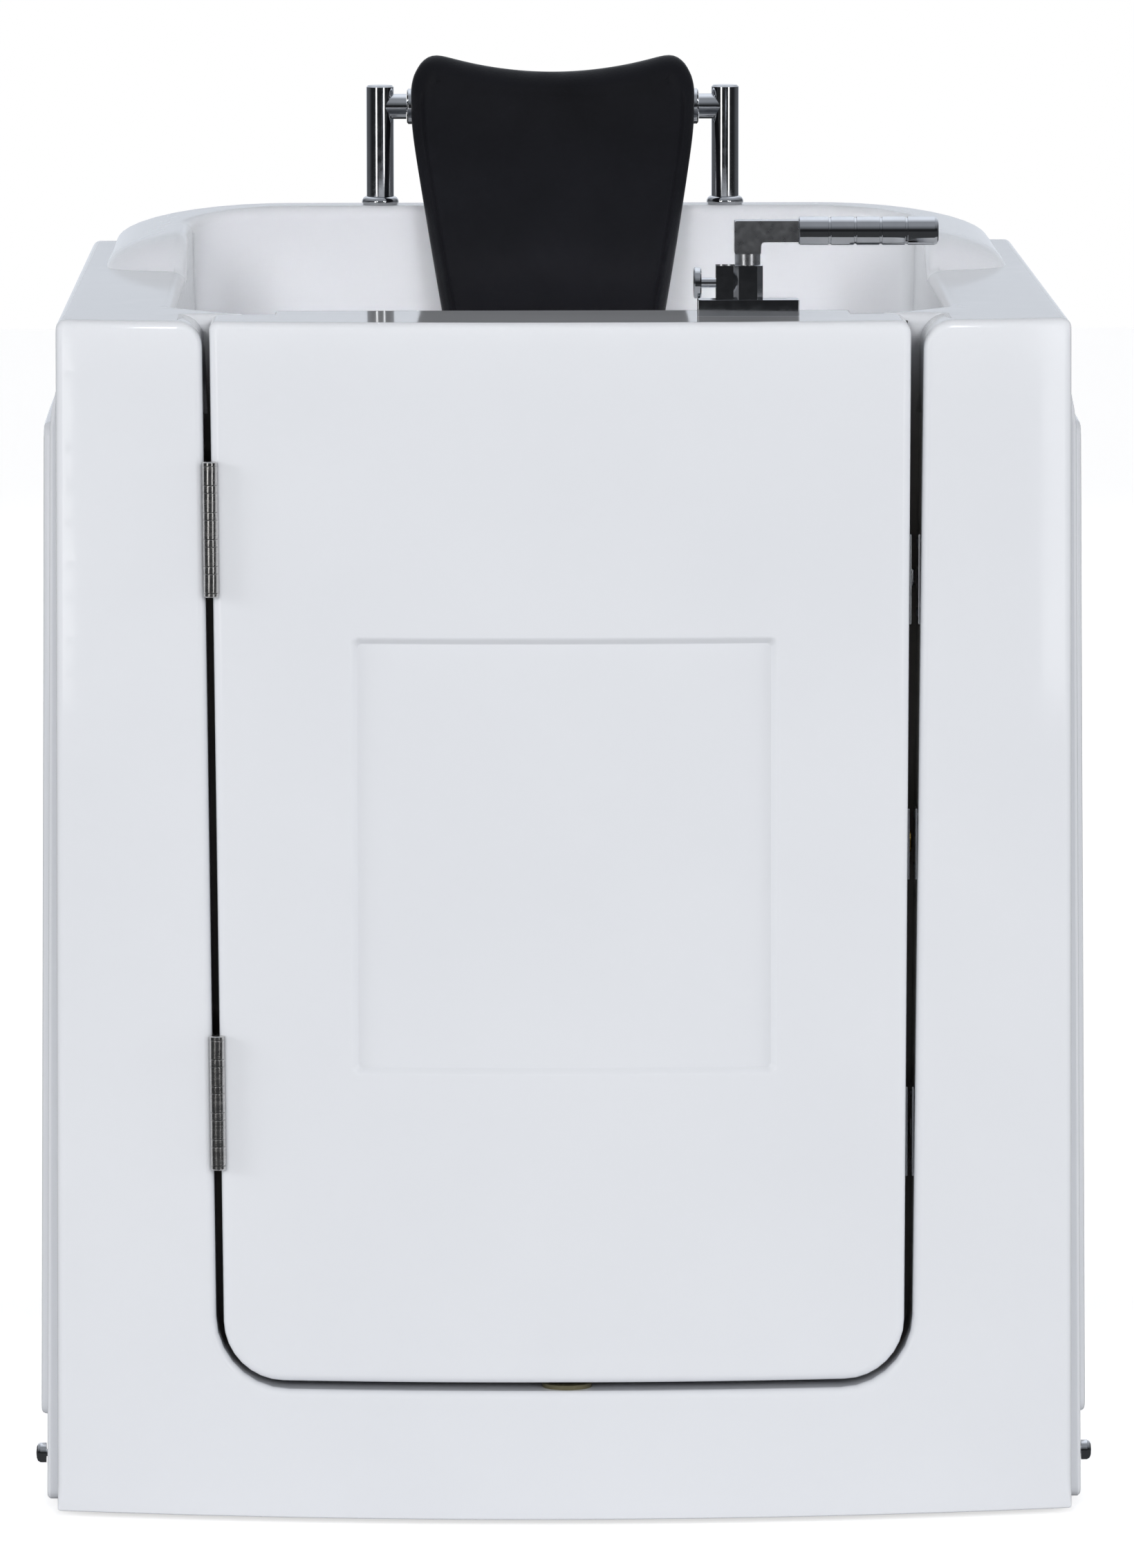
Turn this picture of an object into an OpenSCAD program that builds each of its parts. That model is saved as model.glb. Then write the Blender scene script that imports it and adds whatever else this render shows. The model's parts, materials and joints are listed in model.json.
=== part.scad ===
// Walk-in bathtub with an outward-opening door, a seat and a headrest.
// X runs across the tub, Y from the door to the backrest, Z up from the floor.

/* [Tub] */
// Width of the deck across both side edges
deck_w = 808; // [790:1:830]
// Length from the middle of the bowed front to the rear edge
tub_l = 965; // [950:1:975]
// Height of the deck above the floor
rim_h = 965; // [950:1:975]
// How far the front bows out in the middle
bow = 45; // [30:1:55]
// Widening of the front skirt from the deck down to its lower edge, on each side
flare = 4.4; // [0:0.1:6]
// Wall thickness of the moulded shells
wall = 5; // [4:0.5:6]
// Radius of the outer edges of the deck
edge_r = 8; // [6:1:10]
// Height of the skirt's lower edge above the floor
skirt_z = 4; // [3:1:12]

/* [Raised back] */
// Height that the back rises above the deck
back_rise = 33; // [25:1:36]
// Half width of the raised back at the deck
back_half = 382; // [375:1:388]
// Length of the ramp that climbs from the deck
ramp_l = 150; // [120:5:170]

/* [Well] */
// Half width of the well at the rim
well_half = 312; // [305:1:318]
// Y of the well's rear wall at the rim
well_rear = 430; // [420:1:434]
// Draft of each side wall from the rim to the floor
well_draft = 24; // [15:1:30]
// Height of the seat
seat_z = 430; // [400:5:460]
// Y of the front edge of the seat
seat_y = 62; // [30:2:90]
// Height of the footwell floor
floor_z = 80; // [78:1:90]
// Radius of the well's rear corners
corner_r = 100; // [80:5:120]

/* [Door] */
// Gap between the door and the jamb on the hinge side
hinge_gap = 5.9; // [5.5:0.1:7]
// Gap between the door and the jamb on the latch side, at the top
latch_gap = 10.1; // [9.5:0.1:12]
// Height of the threshold under the door
sill_z = 108; // [100:0.5:115]
// Y of the rebate face that the door closes on
rebate_y = -380; // [-385:1:-378]
// Half width of the clear doorway
doorway_half = 256; // [250:1:258]
// Height of the inner sill of the doorway
doorway_z = 140; // [135:1:150]
// Wall thickness of the door's shells
door_wall = 4; // [3:0.5:5]
// Depth of the square recess in the door's face
recess_d = 4; // [3:0.5:6]

/* [Hinges] */
// Diameter of the hinge barrels
barrel_d = 11.7; // [11:0.1:12]
// Diameter of the hinge pins
hinge_pin_d = 5; // [4:0.5:6]
// Heights of the barrels' centres
barrel_z = [800, 340]; // [300:1:850]
// Lean of the hinge axis from the vertical, in degrees
hinge_lean = 0.45; // [0.4:0.005:0.5]

/* [Latch] */
// Radius of the cranks on the latch spindle
crank_r = 12; // [11:0.5:13]
// Diameter of the latch spindle
spindle_d = 10; // [8:1:12]
// Heights of the two bolts
bolt_z = [757.5, 313]; // [300:1:780]
// Heights of the sections of the two bolts
bolt_h = [15, 13]; // [12:1:16]

/* [Handle] */
// X of the handle's axis
handle_x = 147; // [140:0.5:155]
// Y of the handle's axis
handle_y = -403.5; // [-405:0.5:-402]
// Diameter of the grip
grip_d = 22.8; // [20:0.2:26]
// Length of the grip
grip_l = 111.5; // [90:0.5:120]

/* [Headrest] */
// Distance of each post from the middle
post_x = 151; // [148:1:156]
// Diameter of the posts
post_d = 24; // [20:1:26]
// Height of the top of the posts
post_top = 1102; // [1095:1:1115]
// Height of the cushion's pivot
pivot_z = 1083.5; // [1075:0.5:1090]
// Height of the cushion's horns
horn_z = 1128.5; // [1120:0.5:1135]
// Height of the lower end of the cushion
cushion_z = 835; // [820:5:860]

/* [Side panels] */
// How far the panels stand out from the tub's side
panel_proud = 5; // [3:1:8]
// Bulge of the panels in the middle of their length
panel_bulge = 4; // [3:1:10]
// Height of the panels' raised field above their border
field_rise = 6; // [4:1:8]
// Top of the panels
panel_top = 908; // [900:1:912]

/* [Frame and drain] */
// Side of the square steel tube
tube = 30; // [25:1:32]
// Wall of the square steel tube
tube_wall = 2; // [1.5:0.5:3]
// Diameter of the levelling feet
foot_d = 40; // [35:1:45]
// Outer diameter of the drain's tailpiece
tail_d = 38.1; // [38.1:0.1:40]
// Y of the drain
drain_y = -150; // [-180:5:-100]

/* [Hidden] */

$fn = 48;
eps = 0.01;
far = 600;                          // past every outline

half_w = deck_w / 2;
front_y = -tub_l / 2;
rear_y = tub_l / 2;
bow_r = (half_w * half_w + bow * bow) / (2 * bow);
rim_top = rim_h + back_rise;
lip_z = 912;                        // lower edge of the deck's side and rear lips
skirt_back = -398;                  // rear end of the skirt's side returns
seam_z = 885;                       // where the basin is bonded to the deck's rim
well_front = rebate_y + wall;
fit_gap = 0.35;                     // between parts that pass each other
shaft_gap = 0.05;                   // radial clearance of a running fit

// Two-dimensional helpers. A point is [x, y, corner radius].
function unit(v) = v / norm(v);
function flat(p) = [p[0], p[1]];
function corner(p, a, b, r, n) =
    let (
        u = unit(a - p),
        v = unit(b - p),
        half = acos(u * v) / 2,
        c = p + unit(u + v) * r / sin(half),
        s = p + u * r / tan(half) - c,
        e = p + v * r / tan(half) - c,
        a0 = atan2(s.y, s.x),
        turn = (atan2(e.y, e.x) - a0 + 540) % 360 - 180
    )
    [for (i = [0 : n]) c + r * [cos(a0 + turn * i / n), sin(a0 + turn * i / n)]];
function rounded(pts, n = 6) = [
    for (i = [0 : len(pts) - 1])
        let (
            p = flat(pts[i]),
            a = flat(pts[(i + len(pts) - 1) % len(pts)]),
            b = flat(pts[(i + 1) % len(pts)])
        )
        each pts[i][2] > 0 ? corner(p, a, b, pts[i][2], n) : [p]
];
// The outline moved outwards by d. Its points run anticlockwise.
function grown(pts, d) = [
    for (i = [0 : len(pts) - 1])
        let (
            p = flat(pts[i]),
            e1 = unit(p - flat(pts[(i + len(pts) - 1) % len(pts)])),
            e2 = unit(flat(pts[(i + 1) % len(pts)]) - p),
            n1 = [e1.y, -e1.x],
            n2 = [e2.y, -e2.x],
            q = p + (n1 + n2) * d / (1 + n1 * n2),
            convex = e1.x * e2.y - e1.y * e2.x > 0
        )
        [q.x, q.y, pts[i][2] > 0 ? max(0.5, pts[i][2] + (convex ? d : -d)) : 0]
];

module along_y(y0, y1) translate([0, y1, 0]) rotate([90, 0, 0]) linear_extrude(y1 - y0) children();
module along_x(x0, x1) translate([x0, 0, 0]) rotate([90, 0, 90]) linear_extrude(x1 - x0) children();
module box(lo, hi) translate(lo) cube(hi - lo);
module both_sides() for (s = [0, 1]) mirror([s, 0, 0]) children();

// Everything behind the bowed front, with the rounded upper front edge.
module behind_front(inset, top, r) {
    translate([0, front_y + bow_r, 0])
        rotate_extrude($fn = 720)
            polygon(rounded([
                [0, -1, 0], [bow_r - inset, -1, 0], [bow_r - inset, top, r], [0, top, 0]
            ]));
}

// Outer form of deck and skirt, inset by d.
module deck_form(d) {
    top = rim_h - d;
    w_top = half_w - d;
    w_low = half_w + flare - d;
    r = max(1, edge_r - d);
    intersection() {
        along_y(-far, rear_y - d)
            polygon(rounded([[-w_low, -1, 0], [w_low, -1, 0], [w_top, top, r], [-w_top, top, r]]));
        behind_front(d, top, r);
        along_x(-far, far)
            polygon(rounded([[-far, -1, 0], [rear_y - d, -1, 0], [rear_y - d, top, r], [-far, top, 0]]));
    }
}

// The raised back: an elliptical arch across, cut by a ramp that starts on a slanting line.
arch_a = 150;                       // half width of the arch's elliptical shoulder
arch_steps = 12;
foot_in = [well_half, 90];
foot_out = [back_half, 146];
ramp_turn = atan2(foot_out.y - foot_in.y, foot_out.x - foot_in.x);
ramp_r = (ramp_l * ramp_l + back_rise * back_rise) / (2 * back_rise);
module arch_outline(d) {
    base = rim_h - 20;
    shoulder = [
        for (i = [0 : arch_steps])
            let (a = 90 * i / arch_steps)
            [back_half - arch_a + (arch_a - d) * cos(a), rim_h - d + back_rise * sin(a)]
    ];
    mirrored = [for (i = [arch_steps : -1 : 0]) [-shoulder[i].x, shoulder[i].y]];
    polygon(concat([[-(back_half - d), base], [back_half - d, base]], shoulder, mirrored));
}
module ramp_outline(d) {
    climb = [
        for (i = [0 : 8])
            let (s = ramp_l * i / 8)
            [s + d / 2, rim_top - d - ramp_r + sqrt(ramp_r * ramp_r - (ramp_l - s) * (ramp_l - s))]
    ];
    polygon(concat(climb, [[1200, rim_top - d], [1200, rim_h - 20], [d / 2, rim_h - 20]]));
}
module raised_back(d) {
    intersection() {
        along_y(0, rear_y - d) arch_outline(d);
        both_sides()
            intersection() {
                translate([foot_in.x, foot_in.y, 0])
                    rotate([0, 0, ramp_turn])
                        along_x(-900, 400)
                            ramp_outline(d);
                box([-eps, 0, 0], [far, far, 1100]);
            }
        along_x(-far, far)
            polygon(rounded([
                [0, 0, 0], [rear_y - d, 0, 0],
                [rear_y - d, rim_top - d, max(1, edge_r - d)], [0, rim_top - d, 0]
            ]));
    }
}

// The well, as the meeting of its plan, its cross-section and its long section.
well_plan = [
    [-doorway_half, well_front, 0], [doorway_half, well_front, 0], [well_half + 2, -296, 30],
    [well_half, well_rear, corner_r], [-well_half, well_rear, corner_r], [-well_half - 2, -296, 30]
];
well_cross = [
    [-well_half - 4, 1100, 0], [-well_half + well_draft, floor_z, 38],
    [well_half - well_draft, floor_z, 38], [well_half + 4, 1100, 0]
];
well_long = [
    [well_front, 1100, 0], [well_front, floor_z, 40], [seat_y - 28, floor_z, 30],
    [seat_y, seat_z, 35], [well_rear - 27, seat_z, 60], [well_rear + 3, 1100, 0]
];
module well(d) {
    intersection() {
        translate([0, 0, floor_z - 20]) linear_extrude(1000) polygon(rounded(grown(well_plan, d)));
        along_y(-far, far) polygon(rounded(grown(well_cross, d)));
        along_x(-far, far) polygon(rounded(grown(well_long, d)));
    }
}

// Outlines of the door opening, the doorway behind it, the door and its plug, seen from the front.
door_l = [-281.6, -273.8];            // left edge of the door at the deck and low down
door_r = [275.6, 272.2];            // right edge of the door at the deck and low down
low_z = 180;                        // height at which the lower widths are given
top_z = rim_h;
door_bottom = 114.6;
latch_taper = 3.5;                  // how much narrower the latch gap is low down
function edge_at(edge, z) = edge[0] + (edge[1] - edge[0]) * (top_z - z) / (top_z - low_z);
jamb_l = [door_l[0] - hinge_gap, door_l[1] - hinge_gap];
jamb_r = [door_r[0] + latch_gap, door_r[1] + latch_gap - latch_taper];
function frame_outline(left, right, z0, z1, r_low, r_left, r_right) = [
    [edge_at(left, z0), z0, r_low], [edge_at(right, z0), z0, r_low],
    [edge_at(right, z1), z1, r_right], [edge_at(left, z1), z1, r_left]
];
opening = frame_outline(jamb_l, jamb_r, sill_z, 1100, 58, 0, 0);
doorway = [
    [-doorway_half + 4, doorway_z, 45], [doorway_half - 4, doorway_z, 45],
    [doorway_half, 1100, 0], [-doorway_half, 1100, 0]
];
slab = frame_outline(door_l, door_r, door_bottom, rim_h, 48, 7, 11);
slab_back = rebate_y - 8;
plug_half = 231;
plug_back = slab_back + 42;
plug = [[-plug_half + 4, 165, 40], [plug_half - 4, 165, 40], [plug_half, rim_h, 3], [-plug_half, rim_h, 3]];

// Hinge axis: a point on it, and the turn that lays Z along it.
hinge_x = -281;
hinge_y = -465;
function axis_x(z) = hinge_x + (barrel_z[0] - z) * tan(hinge_lean);
module on_hinge(z) translate([axis_x(z), hinge_y, z]) rotate([0, -hinge_lean, 0]) children();
module hinge_relief() for (z = barrel_z) on_hinge(z) cylinder(d = barrel_d + 1.4, h = 112, center = true);

stud_d = 10;
overflow_z = 640;
overflow_y = -120;

// The whole moulding, before it is parted into deck and basin.
module moulding() {
    difference() {
        union() {
            difference() {
                intersection() {
                    union() {
                        deck_form(0);
                        raised_back(0);
                    }
                    union() {
                        box([-far, -far, skirt_z], [far, skirt_back, 1100]);
                        box([-far, -far, lip_z], [far, far, 1100]);
                    }
                }
                deck_form(wall);
                raised_back(wall);
            }
            intersection() {
                union() {
                    well(wall);
                    along_y(-far, rebate_y + wall) polygon(rounded(grown(opening, wall)));
                }
                union() {
                    deck_form(0);
                    raised_back(0);
                }
                box([-far, -far, floor_z - wall], [far, far, 1100]);
            }
        }
        well(0);
        along_y(-far, rebate_y) polygon(rounded(opening));
        along_y(rebate_y - 1, well_front + 1) polygon(rounded(doorway));
        hinge_relief();
        for (z = barrel_z) leaf_screw_holes(z, jamb_leaf_x(z));
        plate_screw_holes(jamb_r);
        both_sides() translate([post_x, post_y, rim_top - 20]) cylinder(d = stud_d + 1, h = 40);
        translate([0, drain_y, floor_z - 20]) cylinder(d = tail_d + 14, h = 40);
        translate([0, overflow_y, overflow_z]) rotate([0, 90, 0]) cylinder(d = 50, h = far);
    }
}
post_y = (well_rear + rear_y) / 2 + 1;

module deck_skirt() color("ghostwhite") difference() {
    moulding();
    box([-far, rebate_y, 0], [far, far, seam_z]);
}
module basin() color("white") intersection() {
    moulding();
    box([-far, rebate_y, 0], [far, far, seam_z]);
}

// Side panels: a bowed border sheet with a sloped top edge, and a raised field.
panel_front = skirt_back + 2;
panel_rear = rear_y - 2;
panel_low = 5;
panel_x = half_w + panel_proud + panel_bulge;
panel_r = (rear_y * rear_y + panel_bulge * panel_bulge) / (2 * panel_bulge);
panel_draft = 0.5;                  // degrees, outwards towards the floor
panel_wall = 4;
field_top = 875;
field = [[-345, 65, 12], [425, 65, 12], [425, field_top, 12], [-345, field_top, 12]];
slope = [half_w + 0.6, half_w + panel_proud + 3];   // X of the sloped edge's ends
module panel_skin(out) {
    translate([panel_x + out - panel_r, 0, panel_top])
        rotate([0, -panel_draft, 0])
            translate([0, 0, -panel_top - far])
                cylinder(r = panel_r, h = panel_top + 2 * far, $fn = 2880);
}
module panel_slope(d) along_y(-far, far)
    polygon([
        [slope[0] - d, panel_top + 1], [slope[1] - d, field_top + 1],
        [far, field_top + 1], [far, panel_top + 1]
    ]);
module panel_form(d) {
    difference() {
        intersection() {
            panel_skin(-d);
            box([half_w - 60, panel_front + d, panel_low - d], [far, panel_rear - d, panel_top - d]);
        }
        panel_slope(d);
    }
    intersection() {
        panel_skin(field_rise - d);
        along_x(half_w - 60, far) polygon(rounded(grown(field, -d)));
    }
}
module side_panel() {
    difference() {
        panel_form(0);
        panel_form(panel_wall);
        box([half_w - 80, -far, 0], [half_w - 2, far, 1100]);
        for (y = cap_y) on_panel(y) translate([0, 0, -40]) cylinder(d = 6.6, h = 60);
    }
}
module side_panel_right() color("whitesmoke") side_panel();
module side_panel_left() color("whitesmoke") mirror([1, 0, 0]) side_panel();

cap_y = [-372, 452];
cap_z = 40;
function skin_x(y, z) =
    panel_x - panel_r + sqrt(panel_r * panel_r - y * y) / cos(panel_draft)
    + (panel_top - z) * tan(panel_draft);
// A frame on the skin of the right-hand panel at y, with Z square to the skin.
module on_panel(y) translate([skin_x(y, cap_z), y, cap_z])
    rotate([0, 90 - panel_draft, asin(y / panel_r)]) children();
module panel_caps() color("silver") both_sides() for (y = cap_y) on_panel(y) {
    rotate_extrude() polygon([[0, 0.15], [8, 0.15], [8, 5], [6.8, 7], [4.5, 8], [0, 8.4]]);
    translate([0, 0, -18]) cylinder(d = 6, h = 19);
}

// Steel frame of square tube, on levelling feet.
rail_x = 350;
rail_z = 42;
rail_y = [-372, 455];
cross_y = [-330, -60, 250, 430];
foot_y = [-300, 60, 400];
post_spots = [-250, 120, 440];
module square_tube(l) difference() {
    translate([-tube / 2, -tube / 2, 0]) cube([tube, tube, l]);
    translate([tube_wall - tube / 2, tube_wall - tube / 2, -1])
        cube([tube - 2 * tube_wall, tube - 2 * tube_wall, l + 2]);
}
module frame_side_rails() color("gray") both_sides() difference() {
    translate([rail_x, rail_y[0], rail_z]) rotate([-90, 0, 0]) square_tube(rail_y[1] - rail_y[0]);
    for (y = foot_y) translate([rail_x, y, 0]) cylinder(d = 12.6, h = rail_z);
}
module frame_cross_rails() color("gray") for (y = cross_y)
    translate([-rail_x + tube / 2, y, rail_z]) rotate([0, 90, 0]) square_tube(2 * rail_x - tube);
module frame_posts() color("gray") both_sides() for (y = post_spots)
    translate([rail_x + 3, y, rail_z + tube / 2]) square_tube(rim_h - wall - 1 - rail_z - tube / 2);
module frame_seat_rails() color("gray") for (y = [post_spots[1], post_spots[1] + 190])
    translate([-rail_x + tube / 2 - 3, y, seat_z - wall - tube / 2 - 0.5])
        rotate([0, 90, 0]) square_tube(2 * (rail_x - tube / 2 + 3));
module levelling_feet() color("dimgray") both_sides() for (y = foot_y) translate([rail_x, y, 0]) {
    rotate_extrude()
        polygon([[0, 0], [foot_d / 2, 0], [foot_d / 2, 5], [foot_d / 2 - 4, 9], [9, 12], [0, 12]]);
    cylinder(d = 12, h = rail_z);
}
module foot_locknuts() color("silver") both_sides() for (y = foot_y)
    translate([rail_x, y, rail_z - tube / 2 - 9]) difference() {
        cylinder(d = 21, h = 9, $fn = 6);
        translate([0, 0, -1]) cylinder(d = 12.1, h = 12);
    }

// Rubber seal on the rebate face.
gasket_t = -slab_back + rebate_y - 0.3;
module door_gasket() color("dimgray") intersection() {
    difference() {
        along_y(rebate_y - gasket_t, rebate_y) polygon(rounded(grown(opening, -10)));
        along_y(-far, 0) polygon(rounded(grown(opening, -22)));
    }
    box([-far, -far, 0], [far, far, rim_h - 6]);
}

// Plates on the latch side. A plate stands on the leaning edge at height z.
plate_t = 1.5;
plate_y = [-450, -408];
bolt_y = -429;
bolt_t = 10;
module edge_plate(edge, z, h, out, hole) {
    x = edge_at(edge, z);
    difference() {
        translate([out > 0 ? x : x - plate_t, plate_y[0], z - h / 2])
            cube([plate_t, plate_y[1] - plate_y[0], h]);
        if (hole > 0)
            translate([x - 10, bolt_y - bolt_t / 2 - fit_gap, z - hole / 2 - fit_gap])
                cube([20, bolt_t + 2 * fit_gap, hole + 2 * fit_gap]);
        for (s = [-1, 1])
            translate([x - 10, bolt_y, z + s * (h / 2 - 8)]) rotate([0, 90, 0]) cylinder(d = 4.4, h = 20);
    }
}
lean_gap = 0.35;                    // keeps an upright plate off its leaning wall
plate_h = 72;
catch_z = 545;
catch_h = 57;
module strike(z, h, hole) translate([-lean_gap, 0, 0]) edge_plate(jamb_r, z, h, -1, hole);
module strike_upper() color("silver") strike(bolt_z[0], plate_h, bolt_h[0]);
module strike_lower() color("silver") strike(bolt_z[1], plate_h, bolt_h[1]);
module catch_strike() color("silver") strike(catch_z, catch_h, 0);
module edge_screws(edge, out, rows) {
    for (row = rows, s = [-1, 1]) {
        z = row[0] + s * (row[1] / 2 - 8);
        x = edge_at(edge, row[0]) + out * lean_gap;
        translate([x, bolt_y, z])
            rotate([0, out * 90, 0])
                union() {
                    translate([0, 0, plate_t]) cylinder(d1 = 7.4, d2 = 6, h = 0.6);
                    translate([0, 0, -5.5]) cylinder(d = 4.2, h = plate_t + 5.6);
                }
    }
}
plate_rows = [[bolt_z[0], plate_h], [catch_z, catch_h], [bolt_z[1], plate_h]];
module plate_screw_holes(edge) for (row = plate_rows, s = [-1, 1])
    translate([edge_at(edge, row[0]) - 8, bolt_y, row[0] + s * (row[1] / 2 - 8)])
        rotate([0, 90, 0]) cylinder(d = 4.4, h = 16);
module strike_screws() color("silver") edge_screws(jamb_r, -1, plate_rows);

// Hinges: five long knuckles with bearing rings between, and a pin with end caps.
knuckle_h = 15.3;
ring_h = 5.8;
cap_h = 3.2;
stack_gap = 0.2;
pitch = knuckle_h + ring_h + 2 * stack_gap;
leaf_t = 2;
leaf_back = 34;
leaf_gap = 0.15;                    // keeps the leaves off the walls that they are screwed to
screw_spots = [-36, 0, 36];         // along a leaf
screw_y = 20;                       // behind the hinge axis
function jamb_leaf_x(z) = edge_at(jamb_l, z) - axis_x(z) + leaf_gap;
function door_leaf_x(z) = edge_at(door_l, z) - axis_x(z) - leaf_t - leaf_gap;
module knuckle(i) translate([0, 0, (i - 2) * pitch - knuckle_h / 2]) difference() {
    cylinder(d = barrel_d, h = knuckle_h);
    translate([0, 0, -1]) cylinder(d = hinge_pin_d + 2 * shaft_gap, h = knuckle_h + 2);
}
module leaf(z, x, turns) {
    leaf_front = barrel_d / 2 + fit_gap + 0.1;
    on_hinge(z) difference() {
        union() {
            translate([x, leaf_front, -52]) cube([leaf_t, leaf_back - leaf_front, 104]);
            for (i = turns) {
                knuckle(i);
                translate([x, 3.2, (i - 2) * pitch - knuckle_h / 2])
                    cube([leaf_t, leaf_front - 3, knuckle_h]);
            }
        }
        for (s = screw_spots)
            translate([x - 5, screw_y, s]) rotate([0, 90, 0]) cylinder(d = 4.4, h = 12);
        cylinder(d = hinge_pin_d + 2 * shaft_gap, h = 120, center = true);
    }
}
module hinge_jamb_leaves() color("silver") for (z = barrel_z) leaf(z, jamb_leaf_x(z), [0, 2, 4]);
module hinge_door_leaves() color("silver") for (z = barrel_z) leaf(z, door_leaf_x(z), [1, 3]);
module hinge_pins() color("silver") for (z = barrel_z) on_hinge(z) {
    cylinder(d = hinge_pin_d, h = 4 * pitch + knuckle_h + 2, center = true);
    for (s = [0, 1]) mirror([0, 0, s])
        translate([0, 0, 2 * pitch + knuckle_h / 2 + stack_gap])
            rotate_extrude()
                polygon([
                    [0, 0], [barrel_d / 2, 0], [barrel_d / 2, cap_h - 0.8],
                    [barrel_d / 2 - 0.8, cap_h], [0, cap_h]
                ]);
}
module hinge_rings() color("silver") for (z = barrel_z, i = [0 : 3])
    on_hinge(z) translate([0, 0, (i - 1.5) * pitch - ring_h / 2]) difference() {
        cylinder(d = barrel_d, h = ring_h);
        translate([0, 0, -1]) cylinder(d = hinge_pin_d + 2 * shaft_gap, h = ring_h + 2);
    }
module leaf_screws(z, x, side) on_hinge(z) for (s = screw_spots)
    translate([x, screw_y, s]) rotate([0, side * 90, 0]) {
        translate([0, 0, -0.05]) cylinder(d1 = 7.4, d2 = 6, h = 0.6);
        translate([0, 0, -leaf_t - 5]) cylinder(d = 4.2, h = leaf_t + 5.1);
    }
module leaf_screw_holes(z, x) on_hinge(z) for (s = screw_spots)
    translate([x - 10, screw_y, s]) rotate([0, 90, 0]) cylinder(d = 4.4, h = 20);
module hinge_jamb_screws() color("silver") for (z = barrel_z)
    leaf_screws(z, jamb_leaf_x(z) + leaf_t + 0.1, 1);
module hinge_door_screws() color("silver") for (z = barrel_z)
    leaf_screws(z, door_leaf_x(z) - 0.1, -1);

// Drain with a plug that lifts, and an overflow on the right-hand wall.
flange_r = tail_d / 2 + 16;
tail_z = 8;
tail_free = 36;                     // length of the tailpiece below the drain body
tail_bore = tail_d - 4.6;
spigot_step = 1.2;
module drain_body() color("silver") translate([0, drain_y, floor_z]) difference() {
    union() {
        rotate_extrude() polygon([[0, 0.2], [flange_r, 0.2], [flange_r - 2, 2.5], [tail_d / 2, 3], [0, 3]]);
        translate([0, 0, -34]) cylinder(d = tail_d + 10, h = 35);
    }
    translate([0, 0, -40]) cylinder(d = tail_bore, h = 50);
    translate([0, 0, -40]) cylinder(d = tail_d - spigot_step + 0.1, h = 28);
}
module drain_tailpiece() color("silver") translate([0, drain_y, tail_z]) difference() {
    union() {
        cylinder(d = tail_d, h = tail_free);
        cylinder(d = tail_d - spigot_step, h = floor_z - tail_z - 12.2);
    }
    translate([0, 0, -1]) cylinder(d = tail_bore, h = 100);
}
module drain_plug() color("silver") translate([0, drain_y, floor_z + 3.4]) {
    rotate_extrude() polygon([[0, 0], [20, 0], [21, 1.5], [19, 4], [8, 5.5], [0, 6]]);
    translate([0, 0, -24]) cylinder(d = 8, h = 25);
}
overflow_x = well_half - well_draft + (overflow_z - floor_z) * (well_draft + 4) / (1100 - floor_z);
module at_overflow() translate([overflow_x, overflow_y, overflow_z]) children();
module overflow_cover() color("silver") at_overflow() rotate([0, -90, 0]) difference() {
    rotate_extrude() polygon([[0, 1.2], [34, 1.2], [34, 3], [30, 7], [0, 9]]);
    for (a = [0 : 60 : 300]) rotate([0, 0, a]) translate([18, 0, 0]) cylinder(d = 8, h = 20);
}
module overflow_body() color("dimgray") at_overflow() difference() {
    union() {
        rotate([0, 90, 0]) translate([0, 0, -1]) cylinder(d = 48, h = 1 + 16);
        rotate([0, 90, 0]) translate([0, 0, wall + 3]) cylinder(d = 62, h = 9);
        translate([elbow_x, 0, -30]) cylinder(d = pipe_d + 8, h = 46);
    }
    rotate([0, 90, 0]) translate([0, 0, -2]) cylinder(d = 40, h = 30);
    translate([elbow_x, 0, -40]) cylinder(d = pipe_d + 0.2, h = 42);
}
elbow_x = 26;                       // from the overflow's face to its pipe
pipe_d = 32;
pipe_low = rail_z + tube / 2 + 20;
module overflow_pipe() color("dimgray")
    translate([overflow_x + elbow_x, overflow_y, pipe_low]) difference() {
        cylinder(d = pipe_d, h = overflow_z - 12 - pipe_low);
        translate([0, 0, -1]) cylinder(d = pipe_d - 4, h = overflow_z);
    }
module threshold_pad() color("darkkhaki") translate([1.5, -455, sill_z + 0.05]) cylinder(d = 40, h = 3.4);

// Headrest stand.
module headrest_posts() color("silver") both_sides() translate([post_x, post_y, rim_top + 0.05]) {
    h = post_top - rim_top;
    r = post_d / 2;
    rotate_extrude() polygon([[0, 0], [r, 0], [r, h - 1.5], [r - 1.5, h], [0, h]]);
    translate([0, 0, -26]) cylinder(d = stud_d, h = 27);
}
module headrest_collars() color("silver") both_sides()
    translate([post_x, post_y, rim_top + 0.05]) difference() {
    rotate_extrude() polygon([[0, 0], [15.2, 0], [15.2, 2], [14.6, 6], [13.4, 9.5], [12.4, 11], [0, 11]]);
    translate([0, 0, -1]) cylinder(d = post_d + 0.1, h = 20);
}
arm_in = 128;
module headrest_arms() color("silver") both_sides() difference() {
    translate([arm_in, post_y, pivot_z]) rotate([0, 90, 0]) union() {
        cylinder(d = 22, h = post_x - arm_in);
        translate([0, 0, -4]) cylinder(d = 10, h = 5);
    }
    translate([post_x, post_y, rim_top]) cylinder(d = post_d + 0.1, h = 200);
}
module post_nuts() color("silver") both_sides()
    translate([post_x, post_y, rim_top - wall - 8.2]) difference() {
    cylinder(d = 18, h = 8, $fn = 6);
    translate([0, 0, -1]) cylinder(d = stud_d + 0.1, h = 10);
}

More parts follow.
